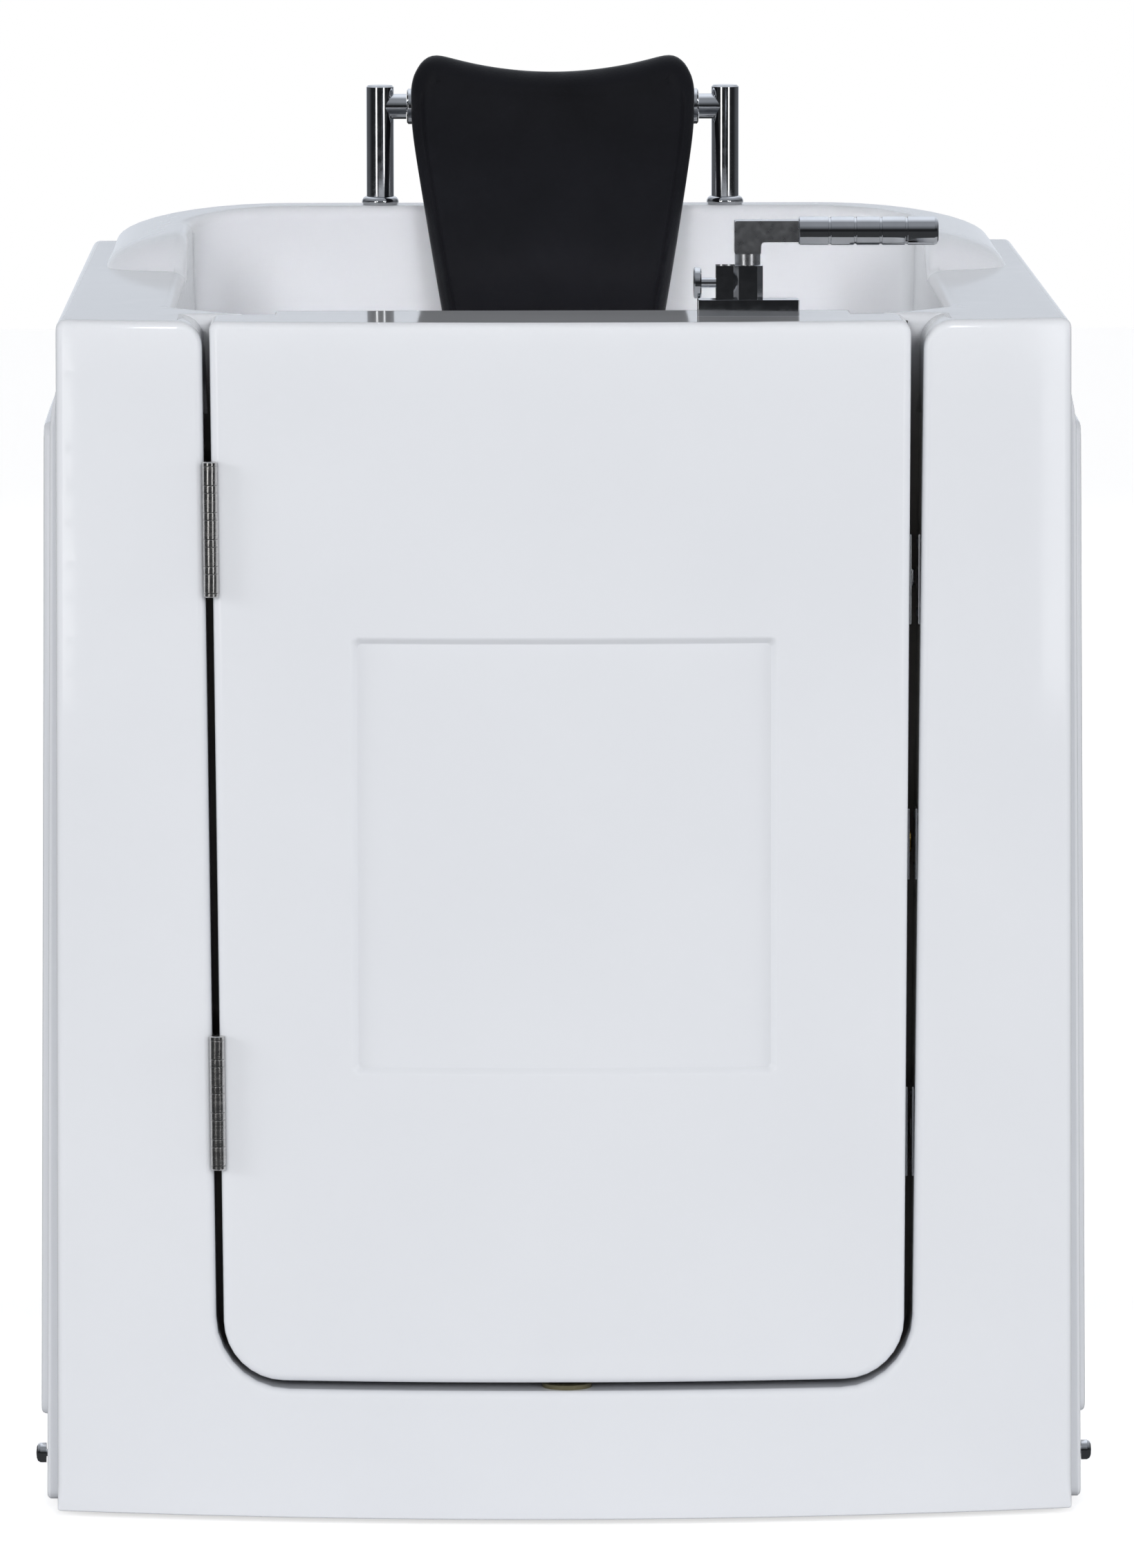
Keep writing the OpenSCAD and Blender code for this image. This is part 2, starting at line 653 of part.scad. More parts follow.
// Door: an outer shell, and a liner that closes its back and carries the plug.
module slab_form(d, y) intersection() {
    along_y(-far, y) polygon(rounded(grown(slab, -d)));
    behind_front(d, rim_h - d, max(1, edge_r - d));
}
recess = [-168.2, 365.8, 167.8, 712.6];
module recess_cut() difference() {
    box([recess[0], -far, recess[1]], [recess[2], 0, recess[3]]);
    behind_front(recess_d, 1100, 1);
}
module recess_back() difference() {
    box([recess[0] - 8, -far, recess[1] - 8], [recess[2] + 8, 0, recess[3] + 8]);
    behind_front(recess_d + door_wall, 1100, 1);
}
module door_shell() color("ghostwhite") difference() {
    slab_form(0, slab_back);
    difference() {
        slab_form(door_wall, slab_back + 1);
        recess_back();
    }
    recess_cut();
    hinge_relief();
    for (z = barrel_z) leaf_screw_holes(z, door_leaf_x(z));
    plate_screw_holes(door_r);
    translate([handle_x, handle_y, rim_h - 30]) cylinder(d = 16, h = 60);
    for (x = base_screw_x) translate([x, handle_y, rim_h - 30]) cylinder(d = 4.6, h = 60);
    for (i = [0, 1])
        translate([240, bolt_y - bolt_t / 2 - 0.6, bolt_z[i] - bolt_h[i] / 2 - 0.6])
            cube([60, bolt_t + 1.2, bolt_h[i] + 1.2]);
    translate([240, bolt_y, catch_z]) rotate([0, 90, 0]) cylinder(d = 12, h = 60);
}
module door_liner() color("white") difference() {
    union() {
        intersection() {
            along_y(slab_back - door_wall, slab_back)
                polygon(rounded(grown(slab, -door_wall - 0.2)));
            box([-far, -far, 0], [far, far, rim_h - door_wall - 0.2]);
        }
        along_y(slab_back, plug_back) polygon(rounded(plug));
    }
    along_y(slab_back - door_wall - 1, plug_back - door_wall) polygon(rounded(grown(plug, -door_wall)));
}

// Latch: a spindle under the handle with two cranks that draw the bolts back.
tail_x = [136, 190];
tail_h = 5;
guide_x = [212, 240];
pin_d = 6;
crank_w = 10;
crank_t = 6;
tip_gap = [1.9, 1.9];
function jamb_plate_x(i) = edge_at(jamb_r, bolt_z[i]) - lean_gap - plate_t;
module bolt(i) {
    tail_y = [bolt_y - bolt_t / 2, handle_y - spindle_d / 2 - 0.4];
    pin_x = handle_x + crank_r * cos(45);
    difference() {
        union() {
            translate([tail_x[1] - 10, bolt_y - bolt_t / 2, bolt_z[i] - bolt_h[i] / 2])
                cube([jamb_plate_x(i) - tip_gap[i] - tail_x[1] + 10, bolt_t, bolt_h[i]]);
            translate([tail_x[0], tail_y[0], bolt_z[i] - tail_h / 2])
                cube([tail_x[1] - tail_x[0], tail_y[1] - tail_y[0], tail_h]);
        }
        translate([pin_x - pin_d / 2 - 0.6, handle_y - crank_r - pin_d / 2 - 0.4, bolt_z[i] - 5])
            cube([pin_d + 1.2, 2 * crank_r, 10]);
    }
}
module bolt_upper() color("silver") bolt(0);
module bolt_lower() color("silver") bolt(1);
module bolt_plate(i) translate([lean_gap, 0, 0]) edge_plate(door_r, bolt_z[i], plate_h, 1, bolt_h[i]);
module bolt_plate_upper() color("silver") bolt_plate(0);
module bolt_plate_lower() color("silver") bolt_plate(1);
module catch_plate() color("silver") difference() {
    translate([lean_gap, 0, 0]) edge_plate(door_r, catch_z, catch_h, 1, 0);
    translate([240, bolt_y, catch_z]) rotate([0, 90, 0]) cylinder(d = 10.1, h = 60);
}
module bolt_plate_screws() color("silver") edge_screws(door_r, 1, plate_rows);
module bolt_guides() color("dimgray") for (i = [0, 1]) difference() {
    translate([guide_x[0], bolt_y - bolt_t / 2 - 6, bolt_z[i] - bolt_h[i] / 2 - 7])
        cube([guide_x[1] - guide_x[0], slab_back - door_wall - bolt_y + bolt_t / 2 + 6, bolt_h[i] + 14]);
    translate([guide_x[0] - 1, bolt_y - bolt_t / 2 - 0.35, bolt_z[i] - bolt_h[i] / 2 - 0.35])
        cube([60, bolt_t + 0.7, bolt_h[i] + 0.7]);
}
catch_x = edge_at(door_r, catch_z) + lean_gap + plate_t;
module at_catch(x) translate([catch_x + x, bolt_y, catch_z]) rotate([0, 90, 0]) children();
module catch_body() color("goldenrod") at_catch(0) union() {
    translate([0, 0, 0.05]) cylinder(d = 17.5, h = 1.5);
    translate([0, 0, -14]) cylinder(d = 10, h = 14.5);
}
module catch_tip() color("black") at_catch(1.55)
    rotate_extrude() polygon([[0, 0], [6.5, 0], [6.2, 0.6], [5.2, 1.1], [3, 1.4], [0, 1.5]]);

// Handle on the door's top, with its lock button.
base_y = [-415, -392];
base_h = 13;
column_h = 27;
column_w = 24;
module handle_base() color("silver") difference() {
    translate([107, base_y[0], rim_h + 0.05]) cube([81, base_y[1] - base_y[0], base_h]);
    translate([handle_x, handle_y, rim_h - 1]) cylinder(r = spindle_d / 2 + shaft_gap, h = base_h + 5);
    for (x = base_screw_x) translate([x, handle_y, rim_h]) {
        translate([0, 0, -1]) cylinder(d = 4.6, h = base_h + 5);
        translate([0, 0, base_h - 2.1]) cylinder(d1 = 4.6, d2 = 9, h = 2.2);
    }
}
base_screw_x = [113, 182];
module base_screws() color("silver") for (x = base_screw_x) translate([x, handle_y, rim_h - 6])
    rotate_extrude()
        polygon([[0, 0], [2.1, 0], [2.1, base_h + 4], [4.1, base_h + 6], [0, base_h + 6]]);
block_x = 121.6;
module handle_column() color("silver") difference() {
    c = 4.6;
    w = column_w / 2;
    translate([handle_x, handle_y, rim_h + base_h + 0.1]) union() {
        linear_extrude(column_h)
            polygon([[-w, -w + c], [-w + c, -w], [w - c, -w], [w, -w + c],
                     [w, w - c], [w - c, w], [-w + c, w], [-w, w - c]]);
        translate([block_x - handle_x, -8, 0]) cube([handle_x - block_x - 8, 18, column_h]);
    }
    translate([handle_x, handle_y, rim_h]) cylinder(r = spindle_d / 2 + shaft_gap, h = 100);
    translate([block_x - 1, handle_y, button_z]) rotate([0, 90, 0]) cylinder(r = 4 + shaft_gap, h = 16);
}
button_z = rim_h + 26;
module lock_button() color("silver") translate([104, handle_y, button_z]) rotate([0, 90, 0]) union() {
    rotate_extrude() polygon([[0, 0], [11.5, 0], [12.5, 1], [12.5, 5], [11.5, 6], [0, 6]]);
    cylinder(d = 8, h = 24);
}
module spindle_bush() color("dimgray") translate([handle_x, handle_y, rim_h - door_wall - 8]) difference() {
    union() {
        cylinder(d = 24, h = 7.8);
        cylinder(d = 15.6, h = 8 + door_wall);
    }
    translate([0, 0, -1]) cylinder(r = spindle_d / 2 + shaft_gap, h = 30);
}
neck_z = rim_h + base_h + column_h + 0.5;
elbow_z = neck_z + 9;
arm_z = 1032.5;
elbow_w = 21;
arm_reach = 40.5;
module handle_elbow() color("silver") difference() {
    w = elbow_w / 2;
    union() {
        translate([handle_x, handle_y, neck_z]) cylinder(r = 10.3, h = 12);
        translate([handle_x, handle_y, 0])
            along_y(-w, w)
                polygon(rounded([
                    [-w, elbow_z, 1], [w, elbow_z, 1], [w, arm_z - 8.5, 3], [arm_reach, arm_z - 8.5, 0],
                    [arm_reach, arm_z + 8.5, 0], [-w, arm_z + 8.5, 1.5]
                ], 3));
    }
    translate([handle_x, handle_y, neck_z - 1]) cylinder(r = spindle_d / 2 + shaft_gap, h = 20);
}
grip_x = handle_x + arm_reach;
module handle_grip() color("silver") translate([grip_x, handle_y, arm_z]) rotate([0, 90, 0])
    rotate_extrude() polygon(concat(
        [[0, 0.05], [grip_d / 2 - 1, 0.05], [grip_d / 2, 1]],
        [for (g = [0 : 3]) let (x = 24.8 + 20.4 * g, r = grip_d / 2)
            each [[r, x - 1.2], [r - 0.9, x - 0.8], [r - 0.9, x + 0.8], [r, x + 1.2]]],
        [[grip_d / 2, grip_l - 3], [grip_d / 2 - 0.9, grip_l - 0.9], [grip_d / 2 - 3, grip_l], [0, grip_l]]
    ));
spindle_low = bolt_z[1] - 30;
module latch_spindle() color("silver") translate([handle_x, handle_y, spindle_low])
    cylinder(d = spindle_d, h = neck_z + 15 - spindle_low);
module latch_cranks() color("gray") for (z = bolt_z)
    translate([handle_x, handle_y, z + tail_h / 2 + 1]) difference() {
    rotate([0, 0, -45]) {
        cylinder(d = 20, h = crank_t);
        translate([0, -crank_w / 2 + 1, 0]) cube([crank_r, crank_w - 2, crank_t]);
        translate([crank_r, 0, 0]) cylinder(d = crank_w, h = crank_t);
        translate([crank_r, 0, -tail_h - 3]) cylinder(d = pin_d, h = tail_h + 5);
    }
    translate([0, 0, -1]) cylinder(d = spindle_d + 0.1, h = crank_t + 2);
}

// Headrest cushion: a tapered shield with two horns, crowned behind and dished in front.
cushion_top = horn_z - 14.5;        // height of the dip between the horns
cushion_cols = 20;
cushion_rows = 24;
horn_u = 0.85;                      // place of the horns across the half width
function smooth(t) = let (c = min(1, max(0, t))) c * c * (3 - 2 * c);
function horn_rise(u) = u < horn_u
    ? (horn_z - cushion_top) * pow(u / horn_u, 2)
    : (horn_z - cushion_top) - 22 * pow((u - horn_u) / (1 - horn_u), 2);
function cushion_level(u, v) =
    let (low = cushion_z + 16 * pow(u, 6), high = cushion_top + horn_rise(u)) low + v * (high - low);
function cushion_half(v) = 80 + 42 * smooth((v + 0.12) / 0.98);
function spine_y(z) = well_rear - 54 + 76 * smooth((z - 930) / 190);
function edge_fall(u, v) = sqrt(max(0, 1 - pow(u, 8))) * sqrt(max(0, 1 - pow(abs(2 * v - 1), 14)));
function on_rim(i, j) = i == 0 || i == cushion_cols || j == 0 || j == cushion_rows;
function cushion_point(side, i, j) =
    let (
        u = sin(90 * (2 * i / cushion_cols - 1)),
        v = (1 - cos(180 * j / cushion_rows)) / 2,
        fall = edge_fall(abs(u), v),
        z = cushion_level(abs(u), v),
        dish = side < 0 ? 9 * (1 - u * u) * fall : 0,
        off = on_rim(i, j) ? 0 : side * (5 + 18 * fall)
    )
    [cushion_half(v) * u, spine_y(z) + off + dish, z];
function back_index(i, j) = on_rim(i, j)
    ? j * (cushion_cols + 1) + i
    : (cushion_cols + 1) * (cushion_rows + 1) + (j - 1) * (cushion_cols - 1) + i - 1;
// A quad's two triangles, split so that none has all its corners on the rim.
function split(a, b, c, d, flip) = flip ? [[a, b, d], [b, c, d]] : [[a, b, c], [a, c, d]];
module headrest_cushion() color([0.13, 0.13, 0.14]) {
    n = cushion_cols + 1;
    front = [for (j = [0 : cushion_rows], i = [0 : cushion_cols]) cushion_point(-1, i, j)];
    back = [for (j = [1 : cushion_rows - 1], i = [1 : cushion_cols - 1]) cushion_point(1, i, j)];
    faces = [
        for (j = [0 : cushion_rows - 1], i = [0 : cushion_cols - 1])
            let (flip = (i < cushion_cols / 2) != (j < cushion_rows / 2))
            each concat(
                split(j * n + i, (j + 1) * n + i, (j + 1) * n + i + 1, j * n + i + 1, flip),
                [for (t = split(back_index(i, j), back_index(i, j + 1), back_index(i + 1, j + 1),
                                back_index(i + 1, j), flip)) [t[2], t[1], t[0]]]
            )
    ];
    polyhedron(concat(front, back), faces);
}
module cushion_flanges() color("silver") both_sides()
    translate([arm_in - 5.3, post_y, pivot_z]) rotate([0, 90, 0]) difference() {
    rotate_extrude() polygon([[0, 0], [15.5, 0], [15.5, 3.6], [14, 4.8], [0, 4.8]]);
    translate([0, 0, 0.6]) cylinder(r = 5 + shaft_gap, h = 10);
}

deck_skirt();
basin();
side_panel_left();
side_panel_right();
panel_caps();
frame_side_rails();
frame_cross_rails();
frame_posts();
frame_seat_rails();
levelling_feet();
foot_locknuts();
door_gasket();
strike_upper();
strike_lower();
catch_strike();
strike_screws();
hinge_jamb_leaves();
hinge_pins();
hinge_rings();
hinge_jamb_screws();
drain_body();
drain_tailpiece();
drain_plug();
overflow_body();
overflow_cover();
overflow_pipe();
threshold_pad();
headrest_posts();
headrest_collars();
headrest_arms();
post_nuts();
door_shell();
door_liner();
hinge_door_leaves();
hinge_door_screws();
bolt_plate_upper();
bolt_plate_lower();
catch_plate();
bolt_plate_screws();
bolt_guides();
catch_body();
catch_tip();
handle_base();
handle_column();
base_screws();
spindle_bush();
handle_elbow();
handle_grip();
latch_spindle();
latch_cranks();
lock_button();
bolt_upper();
bolt_lower();
headrest_cushion();
cushion_flanges();
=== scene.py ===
import json
import math

import bmesh
import bpy
from mathutils import Matrix, Vector
from mathutils.geometry import delaunay_2d_cdt


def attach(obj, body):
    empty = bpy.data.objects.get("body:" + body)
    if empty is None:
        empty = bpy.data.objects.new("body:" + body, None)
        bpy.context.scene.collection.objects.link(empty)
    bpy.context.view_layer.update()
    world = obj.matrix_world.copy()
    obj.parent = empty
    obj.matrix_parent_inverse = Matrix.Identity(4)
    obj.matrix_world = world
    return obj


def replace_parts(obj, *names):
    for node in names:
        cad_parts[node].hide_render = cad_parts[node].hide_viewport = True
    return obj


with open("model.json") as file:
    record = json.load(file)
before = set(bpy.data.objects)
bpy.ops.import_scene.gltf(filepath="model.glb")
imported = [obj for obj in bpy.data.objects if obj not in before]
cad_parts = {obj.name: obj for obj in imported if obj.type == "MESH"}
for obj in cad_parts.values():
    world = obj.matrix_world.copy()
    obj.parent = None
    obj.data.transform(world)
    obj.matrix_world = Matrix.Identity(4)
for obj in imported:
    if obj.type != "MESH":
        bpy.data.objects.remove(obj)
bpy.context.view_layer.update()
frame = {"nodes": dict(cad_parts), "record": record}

# A walk-in bathtub from its door side. Meshes are made in millimetres in the solids' frame, and turned
# into metres as they are built. Materials, the camera's clipping and the lamps are in metres.
MM = 0.001
nodes = frame["nodes"]
scene = bpy.context.scene


# ---------------------------------------------------------------- node trees
class Nodes:
    """A node tree, with short calls to build it."""

    def __init__(self, tree):
        self.tree = tree

    def link(self, a, b):
        self.tree.links.new(a, b)

    def feed(self, socket, value):
        """Gives an input either a link or a value of its own."""
        if isinstance(value, bpy.types.NodeSocket):
            self.link(value, socket)
        else:
            socket.default_value = value

    def add(self, kind, **inputs):
        """Adds a node. Names with a small first letter are its settings, the others its inputs."""
        made = self.tree.nodes.new(kind)
        for key, value in inputs.items():
            if key[0].islower():
                setattr(made, key, value)
            else:
                self.feed(made.inputs[key.replace("_", " ")], value)
        return made

    def calc(self, operation, *values):
        made = self.add("ShaderNodeMath", operation=operation)
        for socket, value in zip(made.inputs, values):
            self.feed(socket, value)
        return made.outputs[0]

    def remap(self, value, low, high, to_low, to_high):
        return self.add("ShaderNodeMapRange", Value=value, From_Min=low, From_Max=high, To_Min=to_low,
                        To_Max=to_high).outputs["Result"]

    def ease(self, value, low, high):
        return self.add("ShaderNodeMapRange", Value=value, From_Min=low, From_Max=high,
                        interpolation_type="SMOOTHSTEP").outputs["Result"]

    def mix(self, share, a, b):
        made = self.add("ShaderNodeMixShader")
        for socket, value in zip(made.inputs, (share, a, b)):
            self.link(value, socket)
        return made.outputs[0]


class Surface(Nodes):
    """A material: its Principled shader takes the given values, and the calls below vary them."""

    def __init__(self, name, **values):
        self.mat = bpy.data.materials.new(name)
        self.mat.use_nodes = True
        super().__init__(self.mat.node_tree)
        self.shader = self.tree.nodes["Principled BSDF"]
        self.out = self.tree.nodes["Material Output"]
        for key, value in values.items():
            self.shader.inputs[key.replace("_", " ")].default_value = value

    def place(self, scale=(1, 1, 1)):
        coord = self.add("ShaderNodeTexCoord")
        return self.add("ShaderNodeMapping", Vector=coord.outputs["Object"], Scale=scale).outputs["Vector"]

    def noise(self, scale, detail=2.0, rough=0.5, stretch=(1, 1, 1)):
        return self.add("ShaderNodeTexNoise", Vector=self.place(stretch), Scale=scale, Detail=detail,
                        Roughness=rough).outputs["Fac"]

    def ramp(self, share, low, high, margin=0.3):
        """Blends from the low to the high tone over the middle of a noise."""
        made = self.add("ShaderNodeValToRGB", Fac=share)
        stops = ((margin, low), (1 - margin, high))
        for element, (at, colour) in zip(made.color_ramp.elements, stops):
            element.position = at
            element.color = (*colour, 1)
        return made.outputs["Color"]

    def colour(self, share, low, high, margin=0.3):
        self.link(self.ramp(share, low, high, margin), self.shader.inputs["Base Color"])

    def roughness(self, share, low, high):
        self.link(self.remap(share, 0.3, 0.7, low, high), self.shader.inputs["Roughness"])

    def bump(self, height, distance, strength):
        made = self.add("ShaderNodeBump", Height=height, Distance=distance, Strength=strength)
        self.link(made.outputs["Normal"], self.shader.inputs["Normal"])


# ---------------------------------------------------------------- materials
# The painted shade at the bottom of the gap round the door, which also stands in for the dark seal that lines
# it, is a mask in object space, in metres.
# Depth is counted from the bowed front, y = GAP_BEND * x * x - GAP_FRONT, and a little less under the sill.
GAP_PAINTED_SHADE = (0.46, 0.435, 0.40)
GAP_FRONT, GAP_BEND, GAP_BACK = 0.4825, 0.2723, -0.3775
GAP_CORNER_X, GAP_CORNER_Z = 0.223, 0.166     # centre of the door's lower corners
GAP_TURN, GAP_OUT = 0.047, 0.297              # the corners' radius, and the mask's outer edge
GAP_DEPTHS = (0.006, 0.036)                   # depths over which the painted shade sets in
GAP_FADE = (0.845, 0.960)                     # heights over which it ends
GAP_SILL_SHARE = 0.6
MASK_EDGE = 0.001


def painted_gap_shade(m):
    """How far a point lies inside the gap round the door, from 0 on the face to 1 at its bottom: its share of
    painted shade.
    """
    place = m.add("ShaderNodeSeparateXYZ", Vector=m.place())
    x, y, z = m.calc("ABSOLUTE", place.outputs["X"]), place.outputs["Y"], place.outputs["Z"]
    low = m.calc("MAXIMUM", m.calc("SUBTRACT", GAP_CORNER_Z, z), 0.0)
    side = m.calc("MAXIMUM", m.calc("SUBTRACT", x, GAP_CORNER_X), 0.0)
    away = m.calc("SQRT", m.calc("ADD", m.calc("MULTIPLY", side, side), m.calc("MULTIPLY", low, low)))
    bow = m.calc("MULTIPLY", m.calc("MULTIPLY", x, x), GAP_BEND)
    depth = m.calc("SUBTRACT", m.calc("ADD", y, GAP_FRONT), bow)
    depth = m.calc("SUBTRACT", depth, m.calc("MULTIPLY", low, GAP_SILL_SHARE))
    share = m.ease(depth, *GAP_DEPTHS)
    for part in (m.ease(away, GAP_TURN - MASK_EDGE, GAP_TURN), m.calc("LESS_THAN", y, GAP_BACK),
                 m.calc("LESS_THAN", x, GAP_OUT), m.calc("SUBTRACT", 1.0, m.ease(z, *GAP_FADE))):
        share = m.calc("MULTIPLY", share, part)
    return share


def gelcoat(name, gap=False):
    """White gelcoat: a clear gloss over a body with faint cloudiness and a very slow waviness."""
    m = Surface(name, Roughness=0.06, IOR=1.47)
    white = m.ramp(m.noise(4.5, 3), (0.745, 0.763, 0.800), (0.763, 0.781, 0.817))
    # With gap, the body is blended towards GAP_PAINTED_SHADE deep in the gap round the door: painted shade.
    if gap:
        blend = m.add("ShaderNodeMix", data_type="RGBA")
        factor, first, second = blend.inputs["Factor"], blend.inputs[6], blend.inputs[7]
        m.feed(factor, painted_gap_shade(m))
        m.feed(first, white)
        m.feed(second, (*GAP_PAINTED_SHADE, 1))
        white = blend.outputs[2]
    m.link(white, m.shader.inputs["Base Color"])
    m.roughness(m.noise(24, 3), 0.045, 0.075)
    m.bump(m.noise(7, 1), 0.0004, 0.25)
    return m.mat


def chrome(name, smoothest, roughest):
    m = Surface(name, Metallic=1.0, Roughness=0.06)
    m.colour(m.noise(60, 2), (0.66, 0.67, 0.69), (0.72, 0.73, 0.75))
    m.roughness(m.noise(160, 5), smoothest, roughest)
    return m.mat


def brushed(name, low, high, rough, stretch):
    """Bare metal, its fine lines drawn out along the axis that is stretched least."""
    m = Surface(name, Metallic=1.0, Roughness=rough)
    lines = m.noise(40, 6, 0.7, stretch)
    m.colour(lines, low, high)
    m.roughness(lines, rough - 0.07, rough + 0.08)
    m.bump(lines, 0.00004, 0.6)
    return m.mat


def plastic(name, low, high, rough, grain=700, depth=0.00004):
    m = Surface(name, Roughness=rough)
    m.colour(m.noise(25, 3), low, high)
    m.roughness(m.noise(90, 4), rough - 0.05, rough + 0.07)
    m.bump(m.noise(grain, 3), depth, 0.7)
    return m.mat


def cushion_skin():
    """Moulded foam with a fine leather-like grain and a soft sheen."""
    m = Surface("cushion_black", Roughness=0.55, IOR=1.25, Sheen_Weight=0.02, Sheen_Roughness=0.4)
    m.colour(m.noise(14, 5, 0.6), (0.0055, 0.0057, 0.0074), (0.0085, 0.0088, 0.0115), 0.25)
    m.roughness(m.noise(55, 4), 0.44, 0.56)
    cells = m.add("ShaderNodeTexVoronoi", Vector=m.place(), Scale=620, feature="SMOOTH_F1")
    m.bump(m.calc("ADD", cells.outputs["Distance"], m.noise(240, 3)), 0.00018, 0.55)
    return m.mat


MATERIALS = {
    "gelcoat_white": gelcoat("gelcoat_white"),
    "chrome": chrome("chrome", 0.045, 0.11),
    "stainless": brushed("stainless", (0.55, 0.54, 0.53), (0.68, 0.67, 0.655), 0.24, (1.2, 1.2, 9)),
    "zinc_steel": brushed("zinc_steel", (0.48, 0.49, 0.51), (0.62, 0.63, 0.65), 0.33, (3, 3, 3)),
    "frame_steel": plastic("frame_steel", (0.17, 0.175, 0.185), (0.21, 0.215, 0.225), 0.42, 500, 0.00006),
    "grey_plastic": plastic("grey_plastic", (0.20, 0.20, 0.21), (0.25, 0.25, 0.26), 0.4),
    "black_plastic": plastic("black_plastic", (0.012, 0.012, 0.012), (0.022, 0.022, 0.022), 0.36),
    "seal_rubber": plastic("seal_rubber", (0.022, 0.021, 0.017), (0.034, 0.032, 0.027), 0.55, 420, 0.00008),
    "olive_pad": plastic("olive_pad", (0.10, 0.092, 0.052), (0.14, 0.125, 0.072), 0.5, 420, 0.00008),
    "brass": brushed("brass", (0.42, 0.27, 0.07), (0.60, 0.40, 0.13), 0.24, (6, 6, 6)),
    "cushion_black": cushion_skin(),
}
# Gelcoat with painted shade deep in the gap round the door, for the tub's shell and the basin.
jamb_painted_shade = gelcoat("gelcoat_jamb_painted_shade", gap=True)
cast_chrome = chrome("chrome_cast", 0.26, 0.34)


# ---------------------------------------------------------------- CAD nodes
def finish_node(obj, slot, angle=30.0):
    """Gives a mesh its material and smooth shading up to an angle."""
    obj.data.materials.clear()
    obj.data.materials.append(MATERIALS[slot])
    for polygon in obj.data.polygons:
        polygon.material_index = 0
    obj.data.shade_smooth()
    obj.data.set_sharp_from_angle(angle=math.radians(angle))


for part in frame["record"]["subparts"]:
    finish_node(nodes[part["node"]], part["material_slot"])
# The basin takes the gelcoat with painted shade in the gap round the door.
nodes["basin"].data.materials[0] = jamb_painted_shade
nodes["handle_elbow"].data.materials[0] = cast_chrome

# Widths of the edges that are rounded on the CAD nodes that stay.
BEVELS = {
    "handle_base": 0.8, "handle_column": 0.6, "handle_elbow": 0.8, "strike_upper": 0.5,
    "strike_lower": 0.5, "catch_strike": 0.5, "bolt_plate_upper": 0.5, "bolt_plate_lower": 0.5,
    "catch_plate": 0.5, "bolt_upper": 3.5, "bolt_lower": 3.5, "cushion_flanges": 1.0,
    "hinge_jamb_leaves": 0.5, "hinge_door_leaves": 0.5, "hinge_rings": 0.35, "hinge_pins": 0.5,
}
WELD_GAP = 0.02                       # merges the doubled points along a CAD node's edges
BEVEL_STEPS, BEVEL_ANGLE = 3, 35.0


def weld_and_bevel(obj, width):
    """Rounds a CAD node's edges with modifiers, and leaves its mesh as it is."""
    weld = obj.modifiers.new("weld", "WELD")
    weld.merge_threshold = WELD_GAP * MM
    bevel = obj.modifiers.new("bevel", "BEVEL")
    bevel.width = width * MM
    bevel.segments = BEVEL_STEPS
    bevel.limit_method = "ANGLE"
    bevel.angle_limit = math.radians(BEVEL_ANGLE)
    bevel.miter_outer = "MITER_ARC"
    evened = obj.modifiers.new("normals", "WEIGHTED_NORMAL")
    evened.weight = 100


for name, width in BEVELS.items():
    weld_and_bevel(nodes[name], width)


# ---------------------------------------------------------------- mesh building
ROUND_STEPS = 7                       # steps in a rounded edge
QUARTER = [(1 - math.cos(t), 1 - math.sin(t))
           for t in (math.pi / 2 * k / ROUND_STEPS for k in range(ROUND_STEPS + 1))]
MITRE_MIN = 0.3                       # keeps the mitres of sharp corners short
GRID_GAP, LINE_GAP = 2.5, 2.0         # how close a grid point may come to an outline and to a line
FLAT_EPS = 0.0001                     # points this close in a flat fill are one
JOIN_GAP, THIN_GAP = 0.00003, 0.000005    # in metres: joins points, and drops faces this thin
BOX_STEP = 60


def smooth(t):
    """Runs softly from 0 to 1."""
    t = min(1.0, max(0.0, t))
    return t * t * (3 - 2 * t)


def mesh_object(name, verts, faces, slot, body, angle=40.0):
    """Makes one piece from its points in millimetres, dresses it and lets it ride on a body."""
    mesh = bpy.data.meshes.new(name)
    mesh.from_pydata([Vector(v) * MM for v in verts], [], faces)
    obj = bpy.data.objects.new(name, mesh)
    scene.collection.objects.link(obj)
    bm = bmesh.new()
    bm.from_mesh(mesh)
    bmesh.ops.recalc_face_normals(bm, faces=bm.faces)
    bm.to_mesh(mesh)
    bm.free()
    finish_node(obj, slot, angle)
    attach(obj, body)
    return obj


def rounded(points, steps):
    """A closed outline from (x, y, radius) corners, in order."""
    out = []
    for i, (x, y, r) in enumerate(points):
        p = Vector((x, y))
        if r <= 0:
            out.append(p)
            continue
        a = (Vector(points[i - 1][:2]) - p).normalized()
        b = (Vector(points[(i + 1) % len(points)][:2]) - p).normalized()
        half = a.angle(b) / 2
        centre = p + (a + b).normalized() * r / math.sin(half)
        start, end = p + a * r / math.tan(half) - centre, p + b * r / math.tan(half) - centre
        a0 = math.atan2(start.y, start.x)
        turn = (math.atan2(end.y, end.x) - a0 + 3 * math.pi) % (2 * math.pi) - math.pi
        out += [centre + r * Vector((math.cos(a0 + turn * k / steps), math.sin(a0 + turn * k / steps)))
                for k in range(steps + 1)]
    return out


def spaced(points, step, closed=True):
    """The same line with extra points, so that none are further apart than step."""
    out = []
    count = len(points) if closed else len(points) - 1
    for i in range(count):
        a, b = points[i], points[(i + 1) % len(points)]
        n = max(1, math.ceil((b - a).length / step - 1e-6))
        out += [a.lerp(b, k / n) for k in range(n)]
    if not closed:
        out.append(points[-1])
    return out


